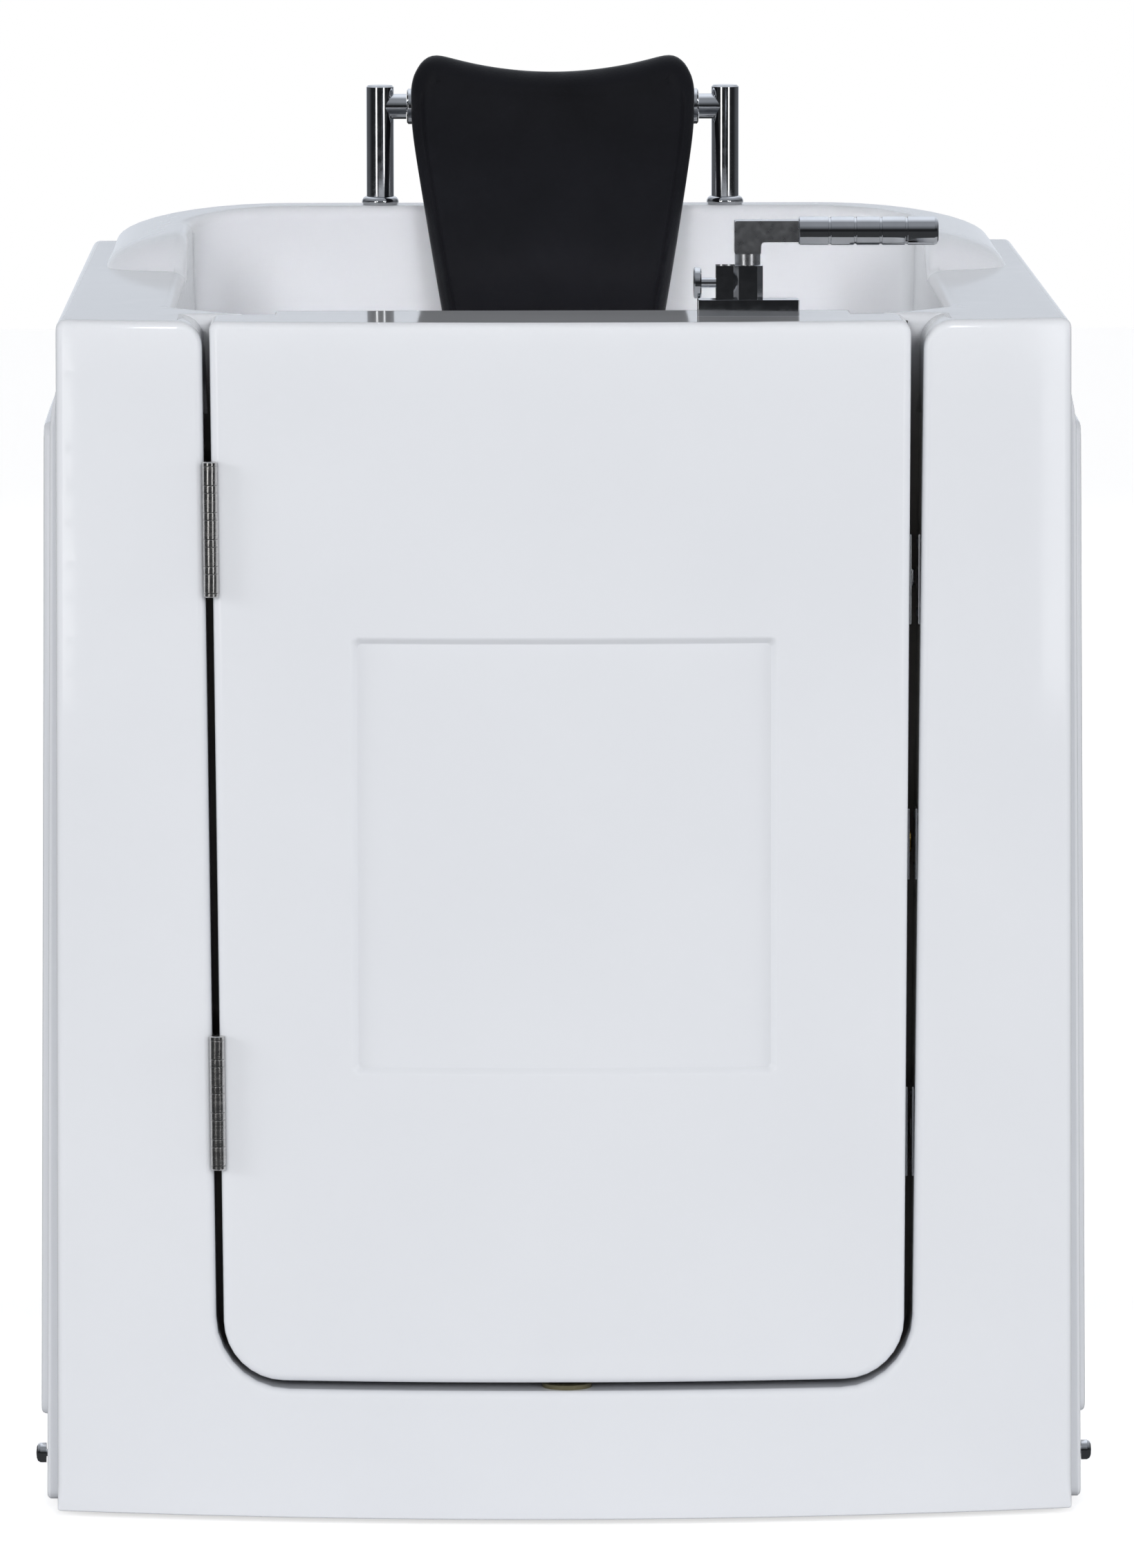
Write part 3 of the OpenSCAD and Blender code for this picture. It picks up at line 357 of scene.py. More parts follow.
def inset_box(box, inset, turn, steps):
    """The outline of a box with round corners, drawn in by inset."""
    x0, y0, x1, y1 = box[0] + inset, box[1] + inset, box[2] - inset, box[3] - inset
    corners = [(x0, y0, turn), (x1, y0, turn), (x1, y1, turn), (x0, y1, turn)]
    return spaced(rounded(corners, steps), BOX_STEP)


def normals_in(points, closed=True):
    """For a line that runs anticlockwise: unit mitres that point to its left."""
    out = []
    n = len(points)
    for i in range(n):
        before = points[i] - points[i - 1] if closed or i > 0 else points[1] - points[0]
        after = points[(i + 1) % n] - points[i] if closed or i < n - 1 else points[-1] - points[-2]
        u, v = before.normalized(), after.normalized()
        a, b = Vector((-u.y, u.x)), Vector((-v.y, v.x))
        out.append((a + b) / max(MITRE_MIN, 1 + a.dot(b)))
    return out


def inside(p, loop):
    """Whether a flat point lies inside a loop, by the edges to its right."""
    hit = False
    x, y = p[0], p[1]
    for i in range(len(loop)):
        a, b = loop[i - 1], loop[i]
        if (a[1] > y) != (b[1] > y) and x < (b[0] - a[0]) * (y - a[1]) / (b[1] - a[1]) + a[0]:
            hit = not hit
    return hit


def clear_of(p, lines, gap):
    return not any(abs(q[0] - p[0]) < gap and abs(q[1] - p[1]) < gap for line in lines for q in line)


def grid_points(x0, x1, dx, y0, y1, dy):
    """Points about dx and dy apart, from edge to edge."""
    nx, ny = max(1, round((x1 - x0) / dx)), max(1, round((y1 - y0) / dy))
    return [(x0 + (x1 - x0) * i / nx, y0 + (y1 - y0) * j / ny) for i in range(nx + 1) for j in range(ny + 1)]


class Shell:
    """Collects the points and faces of one moulded piece."""

    def __init__(self):
        self.verts, self.faces = [], []

    def line(self, points):
        """Adds points, and gives their indices."""
        self.verts += [tuple(p) for p in points]
        return list(range(len(self.verts) - len(points), len(self.verts)))

    def skin(self, rings, closed=True):
        """Joins each ring to the next one."""
        for a, b in zip(rings, rings[1:]):
            for i in range(len(a) if closed else len(a) - 1):
                j = (i + 1) % len(a)
                self.faces.append((a[i], a[j], b[j], b[i]))

    def face_edge(self, outline, radius):
        """Rounds the edge of the bowed front, by a radius for each point. Gives the outermost ring, and
        the innermost with its flat points."""
        inward = normals_in(outline)
        radii = [radius(p) for p in outline]
        rings = []
        for c, s in QUARTER:
            flat = [p + n * r * c for p, n, r in zip(outline, inward, radii)]
            rings.append(self.line([(q.x, face_y(q.x) + r * s, q.y) for q, r in zip(flat, radii)]))
        self.skin(rings)
        return rings[0], rings[-1], flat

    def fill(self, loops, place, grid=(), lines=()):
        """Fills flat loops, the first outside and the others holes. A loop is (flat points, indices).
        The lines are kept as edges, with new points on them."""
        flat, edges, known = [], [], []
        for points, index in loops:
            first = len(flat)
            flat += [Vector(p) for p in points]
            known += list(index)
            edges += [(first + i, first + (i + 1) % len(points)) for i in range(len(points))]
        outlines = [points for points, _ in loops]
        for line in lines:
            first = len(flat)
            flat += [Vector(p) for p in line]
            edges += [(first + i, first + i + 1) for i in range(len(line) - 1)]

        def within(p):
            return inside(p, outlines[0]) and not any(inside(p, hole) for hole in outlines[1:])

        flat += [Vector(p) for p in grid
                 if within(p) and clear_of(p, outlines, GRID_GAP) and clear_of(p, lines, LINE_GAP)]
        got, _, tris, origin, _, _ = delaunay_2d_cdt(flat, edges, [], 1, FLAT_EPS)
        index = []
        for p, sources in zip(got, origin):
            mine = [k for k in sources if k < len(known)]
            if mine:
                index.append(known[mine[0]])
            else:
                index += self.line([place(p.x, p.y)])
        for tri in tris:
            if within((got[tri[0]] + got[tri[1]] + got[tri[2]]) / 3):
                self.faces.append(tuple(index[k] for k in tri))

    def piece(self, name, slot, body, angle=24.0):
        obj = mesh_object(name, self.verts, self.faces, slot, body, angle)
        bm = bmesh.new()
        bm.from_mesh(obj.data)
        bmesh.ops.remove_doubles(bm, verts=bm.verts, dist=JOIN_GAP)
        bmesh.ops.dissolve_degenerate(bm, edges=bm.edges, dist=THIN_GAP)
        bmesh.ops.recalc_face_normals(bm, faces=bm.faces)
        bm.to_mesh(obj.data)
        bm.free()
        finish_node(obj, slot, angle)
        weighted = obj.modifiers.new("normals", "WEIGHTED_NORMAL")
        weighted.keep_sharp = True
        weighted.weight = 50
        return obj


# ---------------------------------------------------------------- the bowed front and the door
HALF_W, FLARE, BOW, TUB_L, RIM = 404.0, 4.4, 45.0, 965.0, 965.0
FRONT_Y, REAR_Y = -TUB_L / 2, TUB_L / 2
BOW_R = (HALF_W ** 2 + BOW ** 2) / (2 * BOW)
SKIRT_Z, LIP_Z, SEAM_Z = 4.0, 912.0, 885.0
SKIRT_BACK, REBATE_Y, SLAB_BACK, PLUG_BACK = -398.0, -380.0, -388.0, -346.0
SILL_Z, DOOR_Z = 108.0, 114.6
# X of the gap's edges, at the deck and LEAN_H below it, on the left and on the right
DOOR_L, DOOR_R = (-281.6, -273.8), (275.6, 272.2)
JAMB_L, JAMB_R = (-287.5, -279.7), (285.7, 278.8)
LEAN_H = 785.0
# The door: its lower corners, its upper ones, the rounding of its edge and the spacing of its points
DOOR_TURN, DOOR_TOP_L, DOOR_TOP_R, DOOR_EDGE, DOOR_STEP = 48, 7, 11, 6.5, 22
DOOR_GRID = (-276, 276, 12, 124, 956, 32)
RECESS, RECESS_D, RECESS_TURN = (-168.2, 365.8, 167.8, 712.6), 4.0, 5
# The recess's soft wall: distance in from its outline, and depth
RECESS_WALL = ((-2.8, 0), (-2.0, 0.08), (-1.1, 0.42), (-0.1, 1.1), (1.0, 2.0), (2.0, 2.9), (2.9, 3.7),
               (3.6, 4.15), (4.4, 4.2), (5.2, 4.0))
# The plug that fills the doorway, its draft, and the share of its rounding that is left at the top
PLUG_HALF, PLUG_Z, PLUG_TURN, PLUG_EDGE, PLUG_DRAFT = 231, 165, 40, 8.0, 4
PLUG_TOP_TURN, PLUG_TOP_SHARE = 3, 0.35


def face_y(x):
    """Y of the bowed front."""
    return FRONT_Y + BOW_R - math.sqrt(BOW_R ** 2 - x * x)


def edge_x(edge, z):
    """X of one of the gap's leaning edges."""
    return edge[0] + (edge[1] - edge[0]) * (RIM - z) / LEAN_H


def side_x(z):
    """Half width of the front, which widens downwards."""
    return HALF_W + FLARE * (RIM - z) / (RIM + 1)


def make_door():
    shell = Shell()
    outline = spaced(rounded([
        (edge_x(DOOR_L, DOOR_Z), DOOR_Z, DOOR_TURN), (edge_x(DOOR_R, DOOR_Z), DOOR_Z, DOOR_TURN),
        (DOOR_R[0], RIM, DOOR_TOP_R), (DOOR_L[0], RIM, DOOR_TOP_L)], 8), DOOR_STEP)
    outer, inner, flat = shell.face_edge(outline, lambda p: DOOR_EDGE)
    loops = []
    for inset, depth in RECESS_WALL:
        loop = inset_box(RECESS, inset, RECESS_TURN - 0.5 * inset, 6)
        loops.append((loop, shell.line([(p.x, face_y(p.x) + depth, p.y) for p in loop])))
    shell.skin([index for _, index in loops])
    grid = grid_points(*DOOR_GRID)
    shell.fill([(flat, inner), loops[0]], lambda x, z: (x, face_y(x), z), grid)
    shell.fill([loops[-1]], lambda x, z: (x, face_y(x) + RECESS_D, z), grid)
    back = shell.line([(p.x, SLAB_BACK, p.y) for p in outline])
    shell.skin([outer, back])
    shell.fill([(outline, back)], lambda x, z: (x, SLAB_BACK, z))

    foot = PLUG_HALF - PLUG_DRAFT
    plug = rounded([(-foot, PLUG_Z, PLUG_TURN), (foot, PLUG_Z, PLUG_TURN),
                    (PLUG_HALF, RIM, PLUG_TOP_TURN), (-PLUG_HALF, RIM, PLUG_TOP_TURN)], 8)
    shares = [PLUG_TOP_SHARE if p.y > RIM - PLUG_TOP_TURN - 0.5 else 1 for p in plug]
    rings = [shell.line([(p.x, SLAB_BACK, p.y) for p in plug])]
    for c, s in QUARTER:
        flat = [p + n * (PLUG_EDGE * c) * share for p, n, share in zip(plug, normals_in(plug), shares)]
        rings.append(shell.line([(q.x, PLUG_BACK - PLUG_EDGE * s * share, q.y)
                                 for q, share in zip(flat, shares)]))
    shell.skin(rings)
    shell.fill([(flat, rings[-1])], lambda x, z: (x, PLUG_BACK, z))
    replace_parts(shell.piece("door_panel", "gelcoat_white", "door"), "door_shell", "door_liner")


# ---------------------------------------------------------------- deck, raised back and skirt
# Roundings: the deck's outer edge, the skirt's lower corners, and the front's edge at the sides, along
# the gap and at the bottom
DECK_EDGE, SKIRT_TURN, SIDE_EDGE, GAP_EDGE, SKIRT_EDGE = 8, 2, 6.0, 6.8, 1.5
JAMB_TURN, GROOVE_L, GROOVE_R = 58, 20.0, 23.0    # the opening's lower corners, and the deck into the gap
SHELL_WALL = 4.5                      # thickness of the moulding
LIP_BACK = -425                       # where the front runs into the deck's own edge, above the lip
FRONT_STEP, FRONT_GRID = 20, (-396, 396, 12, 14, 954, 30)
TINY, SAME_POINT = 0.01, 0.05         # slack in comparing places, and points that count as one

# The raised back: its rise, half width, arch, foot by the well, ramp, and the angle of its foot
RISE, BACK_HALF, ARCH_A = 33.0, 382.0, 150.0
FOOT, RAMP_L, RAMP_TURN = Vector((312, 90)), 150.0, math.atan2(24, 70)
RAMP_R = (RAMP_L ** 2 + RISE ** 2) / (2 * RISE)
SOFT = 2.4                            # how sharply the ramp and the arch meet
ARCH_TURNS = (4, 9, 15, 22, 30, 39, 48, 57, 66, 75, 84, 90)
STEEP_TURNS = ARCH_TURNS[:5]
CREASE_TURNS = (52, 48, 44, 38, 32, 26, 21, 17, 14, 11, 9, 7, 5.5, 4, 3, 2, 1, 0.5)
BACK_STEP, BACK_END = 9, 470          # spacing and end of the points along it
DECK_GRID, REAR_ROWS = (-390, 390, 30, -420, 470, 30), (446, 454, 462, 470)
GAP_ROWS = (-445, -430, -415, -400, -388)
SIDE_STOPS = (-380, -300, -200, -100, 0, 100, 200, 300, 400, 460)
REAR_STOPS = (200, 170, 140, 110, 80, 50, 20)

# The well: half width, rear and doorway; the pockets beside the doorway; and the draft of its side and
# rear walls, as the offset at DRAFT_Z and the fall over a height
WELL_HALF, WELL_REAR, DOORWAY, WELL_TURN, RIM_STEP = 312.0, 430.0, 255.4, 100, 12
POCKET_BACK, POCKET_TURN = -296, 30
DRAFT_Z, DRAFT_SIDE, DRAFT_REAR = 1100, (4, 28, 1020), (3, 30, 670)
WALL_SHARES = (0.33, 0.66, 1.0)
# Rounding of the inner edge: least at the tip beside the doorway, growing from there, and at most
TIP_Y, RIM_LEAST, RIM_GROWTH, RIM_MOST = -378, 2.3, 0.3, 11.0
# The ledges beside the door: most rounding, the lengths over which it fades at the gap, and their points
LEDGE_MOST, LEDGE_FADE_L, LEDGE_FADE_R, LEDGE_STEPS = 9.0, 13, 15, 16
LEFT_X, RIGHT_X = JAMB_L[0] - GROOVE_L, JAMB_R[0] + GROOVE_R


def deck_z(x, y):
    """Height of the deck: the raised back is an arch across the tub that climbs a ramp."""
    x = abs(x)
    s = (y - FOOT.y) * math.cos(RAMP_TURN) - (x - FOOT.x) * math.sin(RAMP_TURN)
    if x >= BACK_HALF or s <= 0:
        return RIM
    out = max(0.0, (x - BACK_HALF + ARCH_A) / ARCH_A)
    arch = math.sqrt(1 - out * out)
    ramp = 1.0 if s >= RAMP_L else 1 - (RAMP_R - math.sqrt(RAMP_R ** 2 - (RAMP_L - s) ** 2)) / RISE
    return RIM + RISE * max(0.0, 1 - ((1 - arch) ** SOFT + (1 - ramp) ** SOFT) ** (1 / SOFT))


def arch_x(turn):
    """Half width of the raised back, this many degrees round its arch."""
    return BACK_HALF - ARCH_A + ARCH_A * math.cos(math.radians(turn))


def foot_y(turn):
    """Where the raised back starts, this far round its arch."""
    t = (1 - math.sin(math.radians(turn))) ** SOFT
    climb = 1 - (1 - t) ** (1 / SOFT)
    s = RAMP_L - math.sqrt(max(0.0, RAMP_R ** 2 - (RAMP_R - RISE * (1 - climb)) ** 2))
    return FOOT.y + (s + (arch_x(turn) - FOOT.x) * math.sin(RAMP_TURN)) / math.cos(RAMP_TURN)


def crease(side):
    """The line where the raised back leaves the deck, from the well to the rear."""
    line = [(side * arch_x(turn), foot_y(turn)) for turn in CREASE_TURNS]
    first = math.ceil(line[-1][1] / BACK_STEP + 1) * BACK_STEP
    rows = (*range(first, BACK_END - 1, BACK_STEP), BACK_END + 3)
    return line + [(side * BACK_HALF, y) for y in rows]


def shoulder(side, turn):
    """A line along the steep side of the raised back, this far round its arch."""
    start = foot_y(turn) + 4
    count = round((BACK_END - start) / BACK_STEP)
    return [(side * arch_x(turn), start + (BACK_END - start) * k / count) for k in range(count + 1)]


def well_clip(p, z):
    """A point of the well's plan, drawn in to its sloping walls at height z."""
    def wall(at, offset, fall, height):
        return at + offset - (DRAFT_Z - z) * fall / height

    x, y = wall(WELL_HALF, *DRAFT_SIDE), wall(WELL_REAR, *DRAFT_REAR)
    return Vector((max(-x, min(x, p.x)), min(y, p.y)))


def rim_radius(p):
    """Rounding of the inner edge, which is smallest at the corners of the doorway."""
    return min(RIM_MOST, RIM_LEAST + RIM_GROWTH * math.hypot(abs(p.x) - DOORWAY, p.y - TIP_Y))


def tub_front(shell):
    """The bowed front with its door opening. Gives its outline and the outermost ring."""
    corners = [(-side_x(SKIRT_Z), SKIRT_Z, SKIRT_TURN), (side_x(SKIRT_Z), SKIRT_Z, SKIRT_TURN),
               (side_x(LIP_Z), LIP_Z, 0), (HALF_W, RIM, DECK_EDGE), (JAMB_R[0], RIM, GROOVE_R),
               (edge_x(JAMB_R, SILL_Z), SILL_Z, JAMB_TURN), (edge_x(JAMB_L, SILL_Z), SILL_Z, JAMB_TURN),
               (JAMB_L[0], RIM, GROOVE_L), (-HALF_W, RIM, DECK_EDGE), (-side_x(LIP_Z), LIP_Z, 0)]
    outline = spaced(rounded(corners, ROUND_STEPS), FRONT_STEP)

    def radius(p):
        if p.y < SKIRT_Z + SKIRT_TURN + 0.1:
            return SKIRT_EDGE
        return SIDE_EDGE if abs(p.x) > HALF_W - DECK_EDGE + 0.1 and p.y < RIM - 0.1 else GAP_EDGE

    outer, inner, flat = shell.face_edge(outline, radius)
    shell.fill([(flat, inner)], lambda x, z: (x, face_y(x), z), grid_points(*FRONT_GRID))

    def back_to(keys, y):
        """Carries a run of the outermost ring straight back."""
        ring = shell.line([(outline[k].x, y, outline[k].y) for k in keys])
        shell.skin([[outer[k] for k in keys], ring], closed=False)

    for side in (-1, 1):
        keys = [k for k, p in enumerate(outline)
                if side * p.x > HALF_W - DECK_EDGE - 0.05 and p.y > SKIRT_Z + 1]
        split = next((i for i in range(1, len(keys)) if keys[i] - keys[i - 1] > 1), 0)
        keys = keys[split:] + keys[:split]
        back_to([k for k in keys if outline[k].y <= LIP_Z + TINY], SKIRT_BACK)
        back_to([k for k in keys if outline[k].y >= LIP_Z - TINY], LIP_BACK)
    back_to([k for k, p in enumerate(outline)
             if LEFT_X - TINY <= p.x <= RIGHT_X + TINY and p.y > SKIRT_Z + 50], REBATE_Y)
    return outline, outer


def deck_edge(shell):
    """The outer edge of the deck, rounded over its sides and rear. Gives its innermost line."""
    rear = [arch_x(t) for t in (TINY, *ARCH_TURNS)] + list(REAR_STOPS)
    rear += [-x for x in reversed(rear)]
    side = [Vector((HALF_W, y)) for y in (LIP_BACK, *SIDE_STOPS, REAR_Y)]
    line = side + [Vector((x, REAR_Y)) for x in rear] + [Vector((-p.x, p.y)) for p in reversed(side)]
    inward = normals_in(line, closed=False)
    flat = [p + n * DECK_EDGE for p, n in zip(line, inward)]
    tops = [deck_z(*p) for p in flat]
    rings = [shell.line([(*(p + n * (DECK_EDGE * c)), z - DECK_EDGE * s)
                         for p, n, z in zip(line, inward, tops)]) for c, s in QUARTER]
    low = shell.line([(math.copysign(side_x(LIP_Z), p.x) if abs(p.x) > HALF_W - 1 else p.x, p.y, LIP_Z)
                      for p in line])
    shell.skin([low] + rings, closed=False)
    return list(zip([tuple(p) for p in flat], rings[-1]))


def inner_edge(shell):
    """The ledges beside the door, the corners of the doorway and the rim of the well, with the top of
    the walls under them. Gives the innermost line on the deck."""
    plan = rounded([(-DOORWAY, REBATE_Y + 5, 0), (-WELL_HALF - 2, POCKET_BACK, POCKET_TURN),
                    (-WELL_HALF, WELL_REAR, WELL_TURN), (WELL_HALF, WELL_REAR, WELL_TURN),
                    (WELL_HALF + 2, POCKET_BACK, POCKET_TURN), (DOORWAY, REBATE_Y + 5, 0)], 16)
    ledge = range(LEDGE_STEPS + 1)
    left = [Vector((LEFT_X + (LEFT_X + DOORWAY) * -k / LEDGE_STEPS, REBATE_Y)) for k in ledge]
    right = [Vector((DOORWAY + (RIGHT_X - DOORWAY) * k / LEDGE_STEPS, REBATE_Y)) for k in ledge]
    well = spaced(plan, RIM_STEP, closed=False)
    line = left + well + right
    in_well = [len(left) <= k < len(left) + len(well) for k in range(len(line))]
    inward = normals_in(line, closed=False)
    heights, bases, radii = [], [], []
    for k, (p, n) in enumerate(zip(line, inward)):
        r = rim_radius(p)
        if k < len(left):
            r = min(LEDGE_MOST, r) * smooth((p.x - LEFT_X) / LEDGE_FADE_L)
        elif not in_well[k]:
            r = min(LEDGE_MOST, r) * smooth((RIGHT_X - p.x) / LEDGE_FADE_R)
        z = deck_z(*(p + n * r))
        heights.append(z)
        radii.append(r)
        bases.append(well_clip(p, z - r) if in_well[k] else p)
    rings = [shell.line([(*(p + n * r * c), z - r * s) for p, n, r, z in zip(bases, inward, radii, heights)])
             for c, s in QUARTER]
    last = rings[0]
    for share in WALL_SHARES:
        ring = []
        for k, (p, z, r) in enumerate(zip(line, heights, radii)):
            low_z = SEAM_Z
            for jamb, way, big in ((JAMB_L[0], -1, GROOVE_L), (JAMB_R[0], 1, GROOVE_R)):
                out = (p.x - jamb) * way
                if out > 0 and abs(p.y - REBATE_Y) < TINY:
                    groove_z = RIM - big + math.sqrt(max(0.0, big * big - (big - out) ** 2))
                    low_z = min(z - r, groove_z) - 0.5
            here = z - r + (low_z - z + r) * share
            q = well_clip(p, here) if in_well[k] else p
            ring.append((q.x, q.y, here))
        ring = shell.line(ring)
        shell.skin([ring, last], closed=False)
        last = ring
    shell.skin(rings, closed=False)
    return list(zip([tuple(p + n * r) for p, n, r in zip(bases, inward, radii)], rings[-1]))


def deck_top(shell, outline, outer, outside, rim):
    """The flat and raised deck between its outer edge, the front's top edge and the inner edge."""
    def front_top(side):
        keys = [k for k, p in enumerate(outline) if p.y > RIM - TINY and side * p.x > 0]
        return [(shell.verts[outer[k]][:2], outer[k]) for k in reversed(keys)]

    def along_gap(x, stops):
        return list(zip([(x, y) for y in stops], shell.line([(x, y, RIM) for y in stops])))

    loop = front_top(1) + outside + front_top(-1)
    loop += along_gap(LEFT_X, GAP_ROWS) + rim
    loop += along_gap(RIGHT_X, GAP_ROWS[::-1])
    clean = []
    for point, index in loop:
        if not clean or (Vector(point) - Vector(clean[-1][0])).length > SAME_POINT:
            clean.append((point, index))
    if (Vector(clean[0][0]) - Vector(clean[-1][0])).length < SAME_POINT:
        clean.pop()

    grid = [(x, y) for x, y in grid_points(*DECK_GRID) if y < FOOT.y - 10 or abs(x) > BACK_HALF + 4]
    rows = range(int(FOOT.y) - 20, BACK_END + 4, BACK_STEP)
    grid += [(side * x, y) for side in (-1, 1) for x in map(arch_x, ARCH_TURNS) for y in rows
             if deck_z(x, y) > RIM + 0.2]
    grid += [(x, y) for x in range(-220, 221, 20) for y in REAR_ROWS]
    lines = [crease(-1), crease(1)]
    lines += [shoulder(side, turn) for side in (-1, 1) for turn in STEEP_TURNS]
    border = [p for p, _ in clean], [k for _, k in clean]
    shell.fill([border], lambda x, y: (x, y, deck_z(x, y)), grid, lines)


def make_tub():
    shell = Shell()
    outline, outer = tub_front(shell)
    outside = deck_edge(shell)
    rim = inner_edge(shell)
    deck_top(shell, outline, outer, outside, rim)
    obj = shell.piece("tub_shell", "gelcoat_white", "tub", 20)
    thick = obj.modifiers.new("thickness", "SOLIDIFY")
    thick.thickness = SHELL_WALL * MM
    thick.offset = -1
    obj.modifiers.move(1, 0)
    # The shell takes the gelcoat with painted shade in the gap round the door.
    obj.data.materials[0] = jamb_painted_shade
    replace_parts(obj, "deck_skirt")


# ---------------------------------------------------------------- headrest cushion
HORN_Z, DIP_Z, LOW_Z = 1131.0, 1114.0, 835.0
HORN_U, HORN_DROP, FOOT_LIFT = 0.85, 22, 16   # where the horns are highest, and the rounding of the corners
# Half width and how it is drawn in below, and the spine's lean
PAD_HALF, PAD_TAPER, BEND_V, BEND_SOFT = 124.5, 22.3, 0.84, 0.0036
SPINE_Y, SPINE_LEAN, SPINE_FROM, SPINE_OVER = 376, 76, 930, 190
OUTLINE_STEPS, OUTLINE_PASSES, PAD_POINTS = 60, 7, 240
# Distances in from the outline at which the skins are shaped, and one that counts as the middle
PAD_RINGS = (0, 0.4, 1.2, 2.4, 4, 5.6, 7, 8, 9, 9.8, 10.5, 11.2, 12.2, 13.5, 15.5, 18, 21, 25)
PAD_MIDDLE, PAD_GRID = 40, (-118, 118, 6, LOW_Z, HORN_Z, 6)
FRONT_ROLL, BACK_ROLL = (19, 22), (20, 26)    # depth and width of the rolled edges
SEAM = (1.6, 10.5, 1.1)               # the sewn line: depth, distance in from the outline and width
WELT = (0.9, 7.2, 1.5)                # the low ridge beside it
SEAM_TOP, SEAM_FADE = 1100, 12        # the sewn line runs out below the top edge
# The dish in the front, and where it fades at the top, below and at the edge; the crown of the back
DISH, DISH_TOP, DISH_TOP_FADE, DISH_LOW, DISH_LOW_FADE, DISH_IN, DISH_IN_FADE = 11, 1122, 90, 6, 70, 9, 14
BACK_CROWN, CROWN_IN, CROWN_FADE = 3.5, 6, 30


def horn_rise(u):
    """Height of the top edge above its dip, at a share of the half width."""
    if u < HORN_U:
        return (HORN_Z - DIP_Z) * (u / HORN_U) ** 2
    return (HORN_Z - DIP_Z) - HORN_DROP * ((u - HORN_U) / (1 - HORN_U)) ** 2


def cushion_half(v):
    """Half width at a share of the height: straight above, and drawn in below."""
    short = BEND_V - v
    return PAD_HALF - PAD_TAPER * (short + math.sqrt(short * short + BEND_SOFT))


def spine_y(z):
    """The middle of the pad's thickness, which leans back towards the top."""
    return SPINE_Y + SPINE_LEAN * smooth((z - SPINE_FROM) / SPINE_OVER)


def cushion_outline(count):
    """Points round the shield, on the same curves as its solid, with soft corners."""
    steps = OUTLINE_STEPS
    raw = [(-1 + 2 * i / steps, 1.0) for i in range(steps + 1)]
    raw += [(1.0, 1 - i / steps) for i in range(1, steps)]
    raw += [(1 - 2 * i / steps, 0.0) for i in range(steps + 1)]
    raw += [(-1.0, i / steps) for i in range(1, steps)]
    pts = []
    for u, v in raw:
        low, high = LOW_Z + FOOT_LIFT * abs(u) ** 6, DIP_Z + horn_rise(abs(u))
        pts.append(Vector((cushion_half(v) * u, low + v * (high - low))))
    for _ in range(OUTLINE_PASSES):
        pts = [(pts[i - 1] + 2 * pts[i] + pts[(i + 1) % len(pts)]) / 4 for i in range(len(pts))]
    total = [0.0]
    for i in range(len(pts)):
        total.append(total[-1] + (pts[(i + 1) % len(pts)] - pts[i]).length)
    out, k = [], 0
    for n in range(count):
        want = total[-1] * n / count
        while total[k + 1] < want:
            k += 1
        t = (want - total[k]) / (total[k + 1] - total[k])
        out.append(pts[k].lerp(pts[(k + 1) % len(pts)], t))
    return out


def rolled(d, depth, width):
    """How far a rolled edge has risen, d in from the outline."""
    return depth * math.sqrt(max(0.0, 1 - (1 - min(1.0, (d + 0.3) / width)) ** 2))


def crown(p):
    """Falls from 1 on the middle line to 0 at the sides."""
    u = p.x / cushion_half((p.y - LOW_Z) / (DIP_Z - LOW_Z))
    return max(0.0, 1 - u * u)


def bead(d, height, middle, width):
    """A narrow ridge along the outline."""
    return height * math.exp(-((d - middle) / width) ** 2)


def cushion_front(p, d):
    """Distance of the front skin ahead of the spine, d in from the outline."""
    seam = bead(d, *SEAM) - bead(d, *WELT)
    if p.y > SEAM_TOP - SEAM_FADE:
        seam *= smooth((SEAM_TOP - p.y) / SEAM_FADE)
    dish = DISH * crown(p) * smooth((DISH_TOP - p.y) / DISH_TOP_FADE)
    dish *= smooth((p.y - LOW_Z + DISH_LOW) / DISH_LOW_FADE)
    return rolled(d, *FRONT_ROLL) - seam - dish * smooth((d - DISH_IN) / DISH_IN_FADE)


def cushion_back(p, d):
    """Distance of the back skin behind the spine."""
    return rolled(d, *BACK_ROLL) + BACK_CROWN * crown(p) * smooth((d - CROWN_IN) / CROWN_FADE)


def make_cushion():
    shell = Shell()
    outline = cushion_outline(PAD_POINTS)
    if sum((a.x * b.y - a.y * b.x) for a, b in zip(outline, outline[1:])) < 0:
        outline.reverse()
    inward = normals_in(outline)
    for sign, depth_of in ((-1, cushion_front), (1, cushion_back)):
        rings = []
        for d in PAD_RINGS:
            flat = [p + n * d for p, n in zip(outline, inward)]
            rings.append(shell.line([(q.x, spine_y(q.y) + (sign * depth_of(q, d) if d else 0.0), q.y)
                                     for q in flat]))
        shell.skin(rings)
        shell.fill([(flat, rings[-1])],
                   lambda x, z: (x, spine_y(z) + sign * depth_of(Vector((x, z)), PAD_MIDDLE), z),
                   grid_points(*PAD_GRID))
    obj = shell.piece("headrest_pad", "cushion_black", "headrest", 70)
    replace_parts(obj, "headrest_cushion")


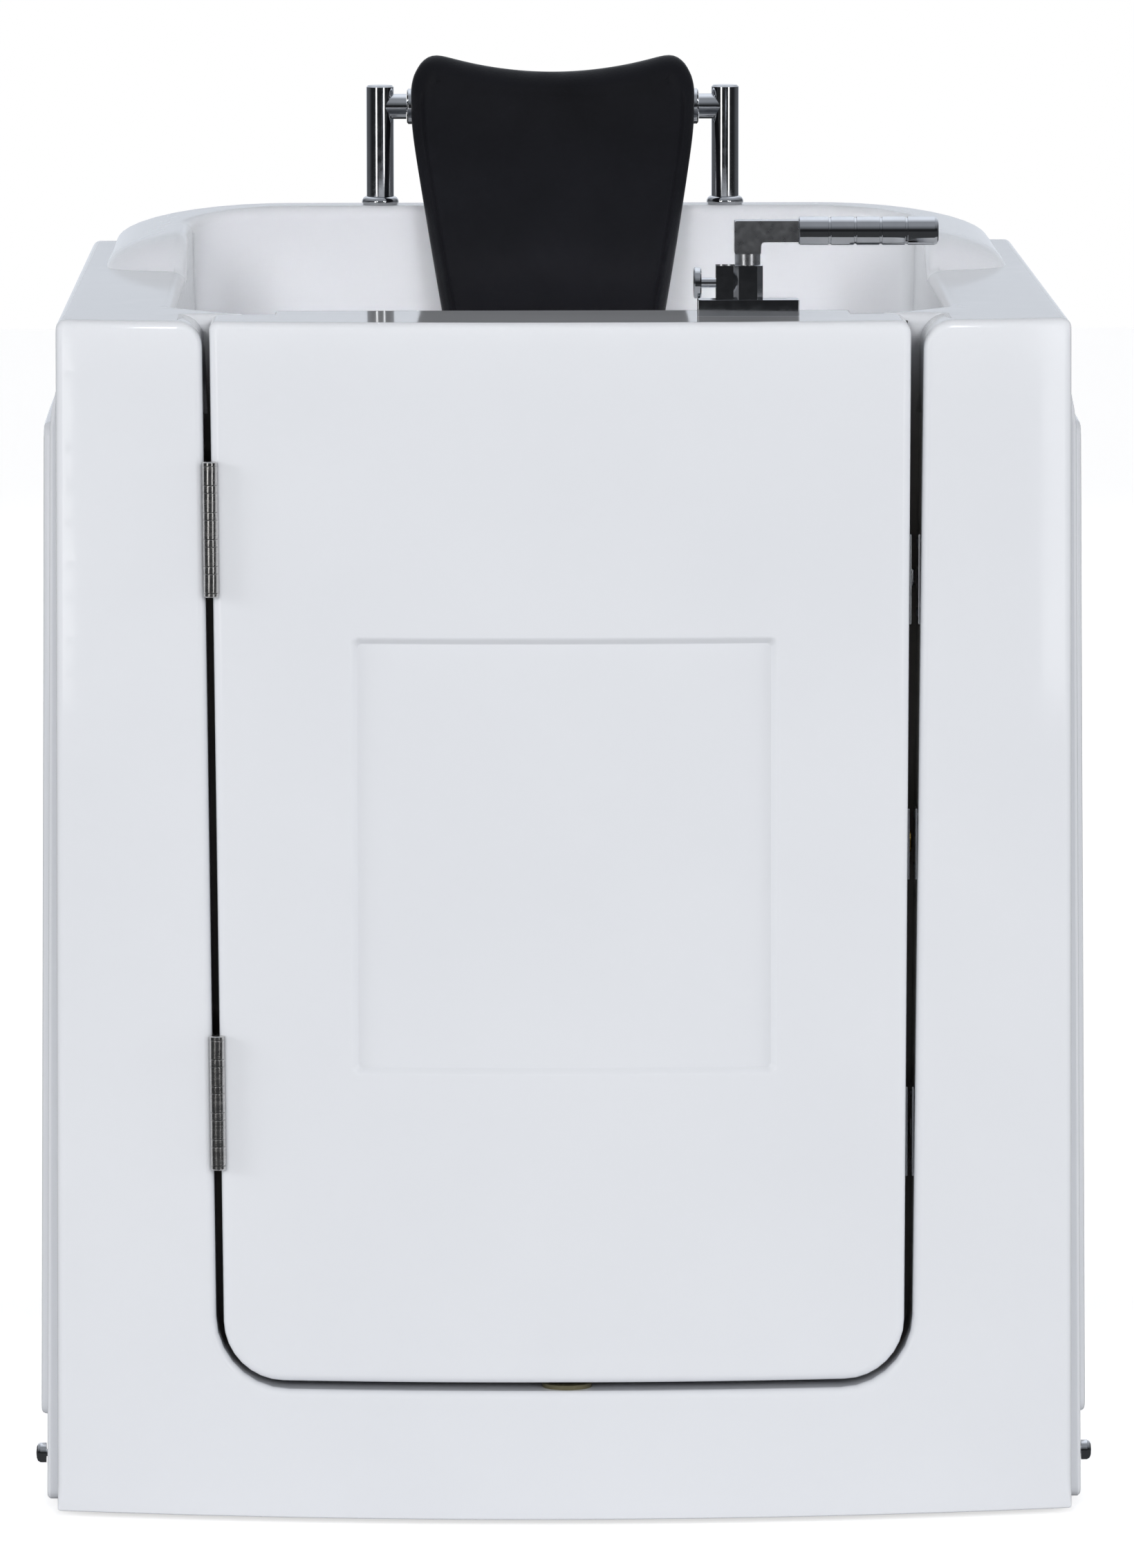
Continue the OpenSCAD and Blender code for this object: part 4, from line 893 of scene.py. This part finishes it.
# ---------------------------------------------------------------- side panels
PANEL_X, PANEL_TOP, PANEL_LOW, PANEL_BACK = HALF_W + 9, 908.0, 5.0, -1.9
PANEL_R = (REAR_Y ** 2 + 16) / 8      # the panels bow out 4 mm over their length
PANEL_LEAN = math.radians(0.5)
PANEL_EDGE, PANEL_EDGE_MOST, PANEL_TURN, PANEL_TOP_TURN, PANEL_STEP = 4.0, 2.5, 9, 3, 25
TOP_BAND, TOP_SHARE = 4, 0.3          # the top edge is rounded less
TUCK = 7.4                            # how far the top is drawn in under the deck's lip
FIELD, FIELD_TURN, FIELD_OUT = (-345.0, 65.0, 425.0, 875.0), 13, 6.0
FIELD_TOP = FIELD[3] + 1
# The raised field's edge: distance in from its outline, and height
FIELD_WALL = ((-1.2, 0.0), (-0.4, 0.15), (0.0, 0.8), (0.2, 2.0), (0.5, 3.4), (1.2, 4.7), (2.4, 5.6),
              (4.2, FIELD_OUT))


def panel_x(y, z, out=0.0):
    """Distance of a panel's skin from the middle of the tub."""
    skin = PANEL_X + out - PANEL_R + math.sqrt(PANEL_R ** 2 - y * y) + (PANEL_TOP - z) * math.tan(PANEL_LEAN)
    if z > FIELD_TOP:
        skin = min(skin, PANEL_X - 1 - TUCK * (z - FIELD_TOP) / (PANEL_TOP - FIELD[3]))
    return skin


def make_panel(side, name, node):
    shell = Shell()
    y0, y1 = SKIRT_BACK + 2, REAR_Y - 2
    corners = [(y0, PANEL_LOW, PANEL_TURN), (y1, PANEL_LOW, PANEL_TURN), (y1, FIELD_TOP, 0),
               (y1, PANEL_TOP, PANEL_TOP_TURN), (y0, PANEL_TOP, PANEL_TOP_TURN), (y0, FIELD_TOP, 0)]
    border = spaced(rounded(corners, 5), PANEL_STEP)
    inward = normals_in(border)
    rings = [shell.line([(side * (HALF_W + PANEL_BACK), p.x, p.y) for p in border])]

    def top_share(p):
        return TOP_SHARE if p.y > PANEL_TOP - TOP_BAND else 1

    for c, s in QUARTER:
        flat = [p + n * (PANEL_EDGE * c) * top_share(p) for p, n in zip(border, inward)]
        depth = min(PANEL_EDGE * s, PANEL_EDGE_MOST)
        rings.append(shell.line([(side * (panel_x(q.x, q.y) - depth * top_share(q)), q.x, q.y) for q in flat]))
    shell.skin(rings)
    loops = []
    for inset, out in FIELD_WALL:
        loop = inset_box(FIELD, inset, FIELD_TURN - inset, 7)
        loops.append((loop, shell.line([(side * panel_x(p.x, p.y, out), p.x, p.y) for p in loop])))
    shell.skin([index for _, index in loops])
    grid = grid_points(y0 + 12, y1 - 12, 24, PANEL_LOW + 10, PANEL_TOP - 8, 30)
    bend = [(y0 + 8, FIELD_TOP + 0.05), (y1 - 8, FIELD_TOP + 0.05)]
    shell.fill([(flat, rings[-1]), loops[0]], lambda y, z: (side * panel_x(y, z), y, z), grid, [bend])
    shell.fill([loops[-1]], lambda y, z: (side * panel_x(y, z, FIELD_OUT), y, z), grid)
    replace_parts(shell.piece(name, "gelcoat_white", "tub"), node)


# ---------------------------------------------------------------- collars of the headrest's posts
POST_X, POST_Y = 151.0, (WELL_REAR + REAR_Y) / 2 + 1
COLLAR_SIDES = 64
COLLAR_LIFT = 0.05
# Radius and height of the points round a collar's section
COLLAR = ((12.05, 0), (14.6, 0), (15.6, 0.6), (16.1, 1.9), (16.0, 3.3), (15.4, 4.7), (14.4, 5.9),
          (13.2, 6.7), (12.05, 7.0))


def make_collars():
    shell = Shell()
    turns = [2 * math.pi * k / COLLAR_SIDES for k in range(COLLAR_SIDES)]
    for side in (-1, 1):
        rings = [shell.line([(side * POST_X + r * math.cos(a), POST_Y + r * math.sin(a),
                              RIM + RISE + COLLAR_LIFT + h) for a in turns]) for r, h in COLLAR]
        shell.skin(rings + rings[:1])
    obj = mesh_object("collar_domes", shell.verts, shell.faces, "chrome", "tub")
    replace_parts(obj, "headrest_collars")


make_door()
make_tub()
make_cushion()
make_panel(1, "panel_right", "side_panel_right")
make_panel(-1, "panel_left", "side_panel_left")
make_collars()


# ---------------------------------------------------------------- camera
# Place in millimetres, focal length in pixels of an image IMAGE_H high, and angles in degrees
CAMERA_AT, FOCAL_PX, IMAGE_H = (-93.1, -9048.1, 1620.0), 15698.6, 2268
PITCH, YAW, ROLL = (math.radians(a) for a in (6.804, 0.634, -0.053))


def make_camera():
    data = bpy.data.cameras.new("camera")
    cam = bpy.data.objects.new("camera", data)
    scene.collection.objects.link(cam)
    scene.camera = cam
    forward = Vector((math.sin(YAW) * math.cos(PITCH), math.cos(YAW) * math.cos(PITCH), -math.sin(PITCH)))
    right = Vector((math.cos(YAW), -math.sin(YAW), 0))
    up = right.cross(forward)
    right, up = math.cos(ROLL) * right + math.sin(ROLL) * up, math.cos(ROLL) * up - math.sin(ROLL) * right
    turn = Matrix((right, up, -forward)).transposed()
    cam.matrix_world = Matrix.Translation(Vector(CAMERA_AT) * MM) @ turn.to_4x4()
    data.sensor_width = 36
    data.lens = FOCAL_PX * data.sensor_width / IMAGE_H
    data.clip_start, data.clip_end = 0.1, 100


make_camera()


# ---------------------------------------------------------------- lamps
# Azimuth to each side of the front, height and spread in degrees; strength. They don't show in the gloss.
SUNS = (("sun", 14, 16, 12, 0.74), ("side_sun", 80, 12, 20, 0.95), ("rear_sun", 150, 6, 20, 0.95))


def add_lamp(name, kind, mirrored):
    lamp = bpy.data.objects.new(name, bpy.data.lights.new(name, kind))
    scene.collection.objects.link(lamp)
    lamp.visible_glossy = mirrored
    return lamp


def sun_lamp(name, azimuth, height, spread, power):
    lamp = add_lamp(name, "SUN", False)
    lamp.data.energy, lamp.data.angle = power, math.radians(spread)
    a, h = math.radians(azimuth), math.radians(height)
    way = Vector((-math.sin(a) * math.cos(h), math.cos(a) * math.cos(h), -math.sin(h)))
    lamp.rotation_euler = way.to_track_quat("-Z", "Y").to_euler()


def area_lamp(name, at, target, size, power, colour=(1, 1, 1), mirrored=True):
    lamp = add_lamp(name, "AREA", mirrored)
    lamp.data.shape = "RECTANGLE"
    lamp.data.size, lamp.data.size_y = size
    lamp.data.energy, lamp.data.color = power, colour
    lamp.location = at
    lamp.rotation_euler = (Vector(target) - Vector(at)).to_track_quat("-Z", "Y").to_euler()
    return lamp


def make_lamps():
    for name, azimuth, height, spread, power in SUNS:
        for side in (-1, 1):
            sun_lamp(name, side * azimuth, height, spread, power)
    # Tall softboxes to the sides, which the roundings and the chrome mirror
    area_lamp("strip_left", (-3.65, -5.4, 1.7), (0, 0, 1.7), (1.3, 3.4), 32, (1.0, 0.995, 0.985))
    area_lamp("strip_right", (3.65, -5.4, 1.7), (0, 0, 1.7), (1.3, 3.4), 28, (0.985, 0.99, 1.0))
    for side in (-1, 1):
        area_lamp("high", (side * 2.0, -4.6, 2.8), (0, -0.4, 0.95), (0.3, 1.6), 14)
    area_lamp("fill_back", (0.0, 6.5, 4.0), (0, 0, 0.5), (4.0, 2.5), 60, mirrored=False)
    # A narrow beam over the door's top, for the well's rear wall
    beam = area_lamp("well_beam", (0.0, -2.5, 1.50), (0, 0.4, 0.91), (1.4, 0.15), 0.27, mirrored=False)
    beam.data.spread = math.radians(6)


make_lamps()


# ---------------------------------------------------------------- world and floor
AMBIENT, AMBIENT_POWER = (0.94, 0.965, 1.0, 1), 0.10
SHINE = (0.87, 0.92, 1.0, 1)
WHITE = (1, 1, 1, 1)
# What the gloss shows: light behind the object and within a middle band, dark behind the camera, and
# lighter again overhead. Each is the range of a direction's part, then the strengths that it runs between.
SHINE_BACK = (-0.25, 0.3, 0.0, 0.80)
SHINE_MIDDLE = (0.3, 0.65, 1.0, 0.12)
SHINE_HIGH = (0.2, 0.7, 0.02, 0.35)
FLOOR_HALF, FLOOR_COLOUR = 12.0, (0.82, 0.82, 0.83, 1)
FLOOR_LIFT = 0.63                     # brings the lit floor to white for the camera, and keeps the shadow
FLOOR_DARK, FLOOR_DARK_POWER = (0.9, 0.94, 1.0, 1), 0.05


def make_world():
    """White for the camera, even light on the object, and a studio in the gloss."""
    world = bpy.data.worlds.new("studio")
    scene.world = world
    world.use_nodes = True
    world.node_tree.nodes.clear()
    w = Nodes(world.node_tree)
    way = w.add("ShaderNodeSeparateXYZ", Vector=w.add("ShaderNodeTexCoord").outputs["Generated"]).outputs
    back = w.remap(way["Y"], *SHINE_BACK)
    middle = w.remap(w.calc("ABSOLUTE", way["X"]), *SHINE_MIDDLE)
    strength = w.calc("ADD", w.calc("MULTIPLY", back, middle), w.remap(way["Z"], *SHINE_HIGH))
    shine = w.add("ShaderNodeBackground", Color=SHINE, Strength=strength).outputs[0]
    seen = w.add("ShaderNodeBackground", Color=WHITE, Strength=1.0).outputs[0]
    ambient = w.add("ShaderNodeBackground", Color=AMBIENT, Strength=AMBIENT_POWER).outputs[0]
    rays = w.add("ShaderNodeLightPath").outputs
    lit = w.mix(rays["Is Glossy Ray"], ambient, shine)
    w.add("ShaderNodeOutputWorld", Surface=w.mix(rays["Is Camera Ray"], lit, seen))


def make_floor():
    mesh = bpy.data.meshes.new("floor")
    half = FLOOR_HALF
    corners = [(-half, -half, 0), (half, -half, 0), (half, half, 0), (-half, half, 0)]
    mesh.from_pydata(corners, [], [(0, 1, 2, 3)])
    floor = bpy.data.objects.new("floor", mesh)
    scene.collection.objects.link(floor)
    m = Surface("floor", Roughness=0.9, Base_Color=FLOOR_COLOUR)
    lit = m.shader.outputs[0]
    lift = m.add("ShaderNodeEmission", Color=WHITE, Strength=FLOOR_LIFT).outputs[0]
    lifted = m.add("ShaderNodeAddShader")
    m.link(lit, lifted.inputs[0])
    m.link(lift, lifted.inputs[1])
    dark = m.add("ShaderNodeEmission", Color=FLOOR_DARK, Strength=FLOOR_DARK_POWER).outputs[0]
    rays = m.add("ShaderNodeLightPath").outputs
    seen = m.mix(rays["Is Camera Ray"], lit, lifted.outputs[0])
    m.link(m.mix(rays["Is Glossy Ray"], seen, dark), m.out.inputs["Surface"])
    mesh.materials.append(m.mat)


make_world()
make_floor()
scene.view_settings.view_transform = "Standard"
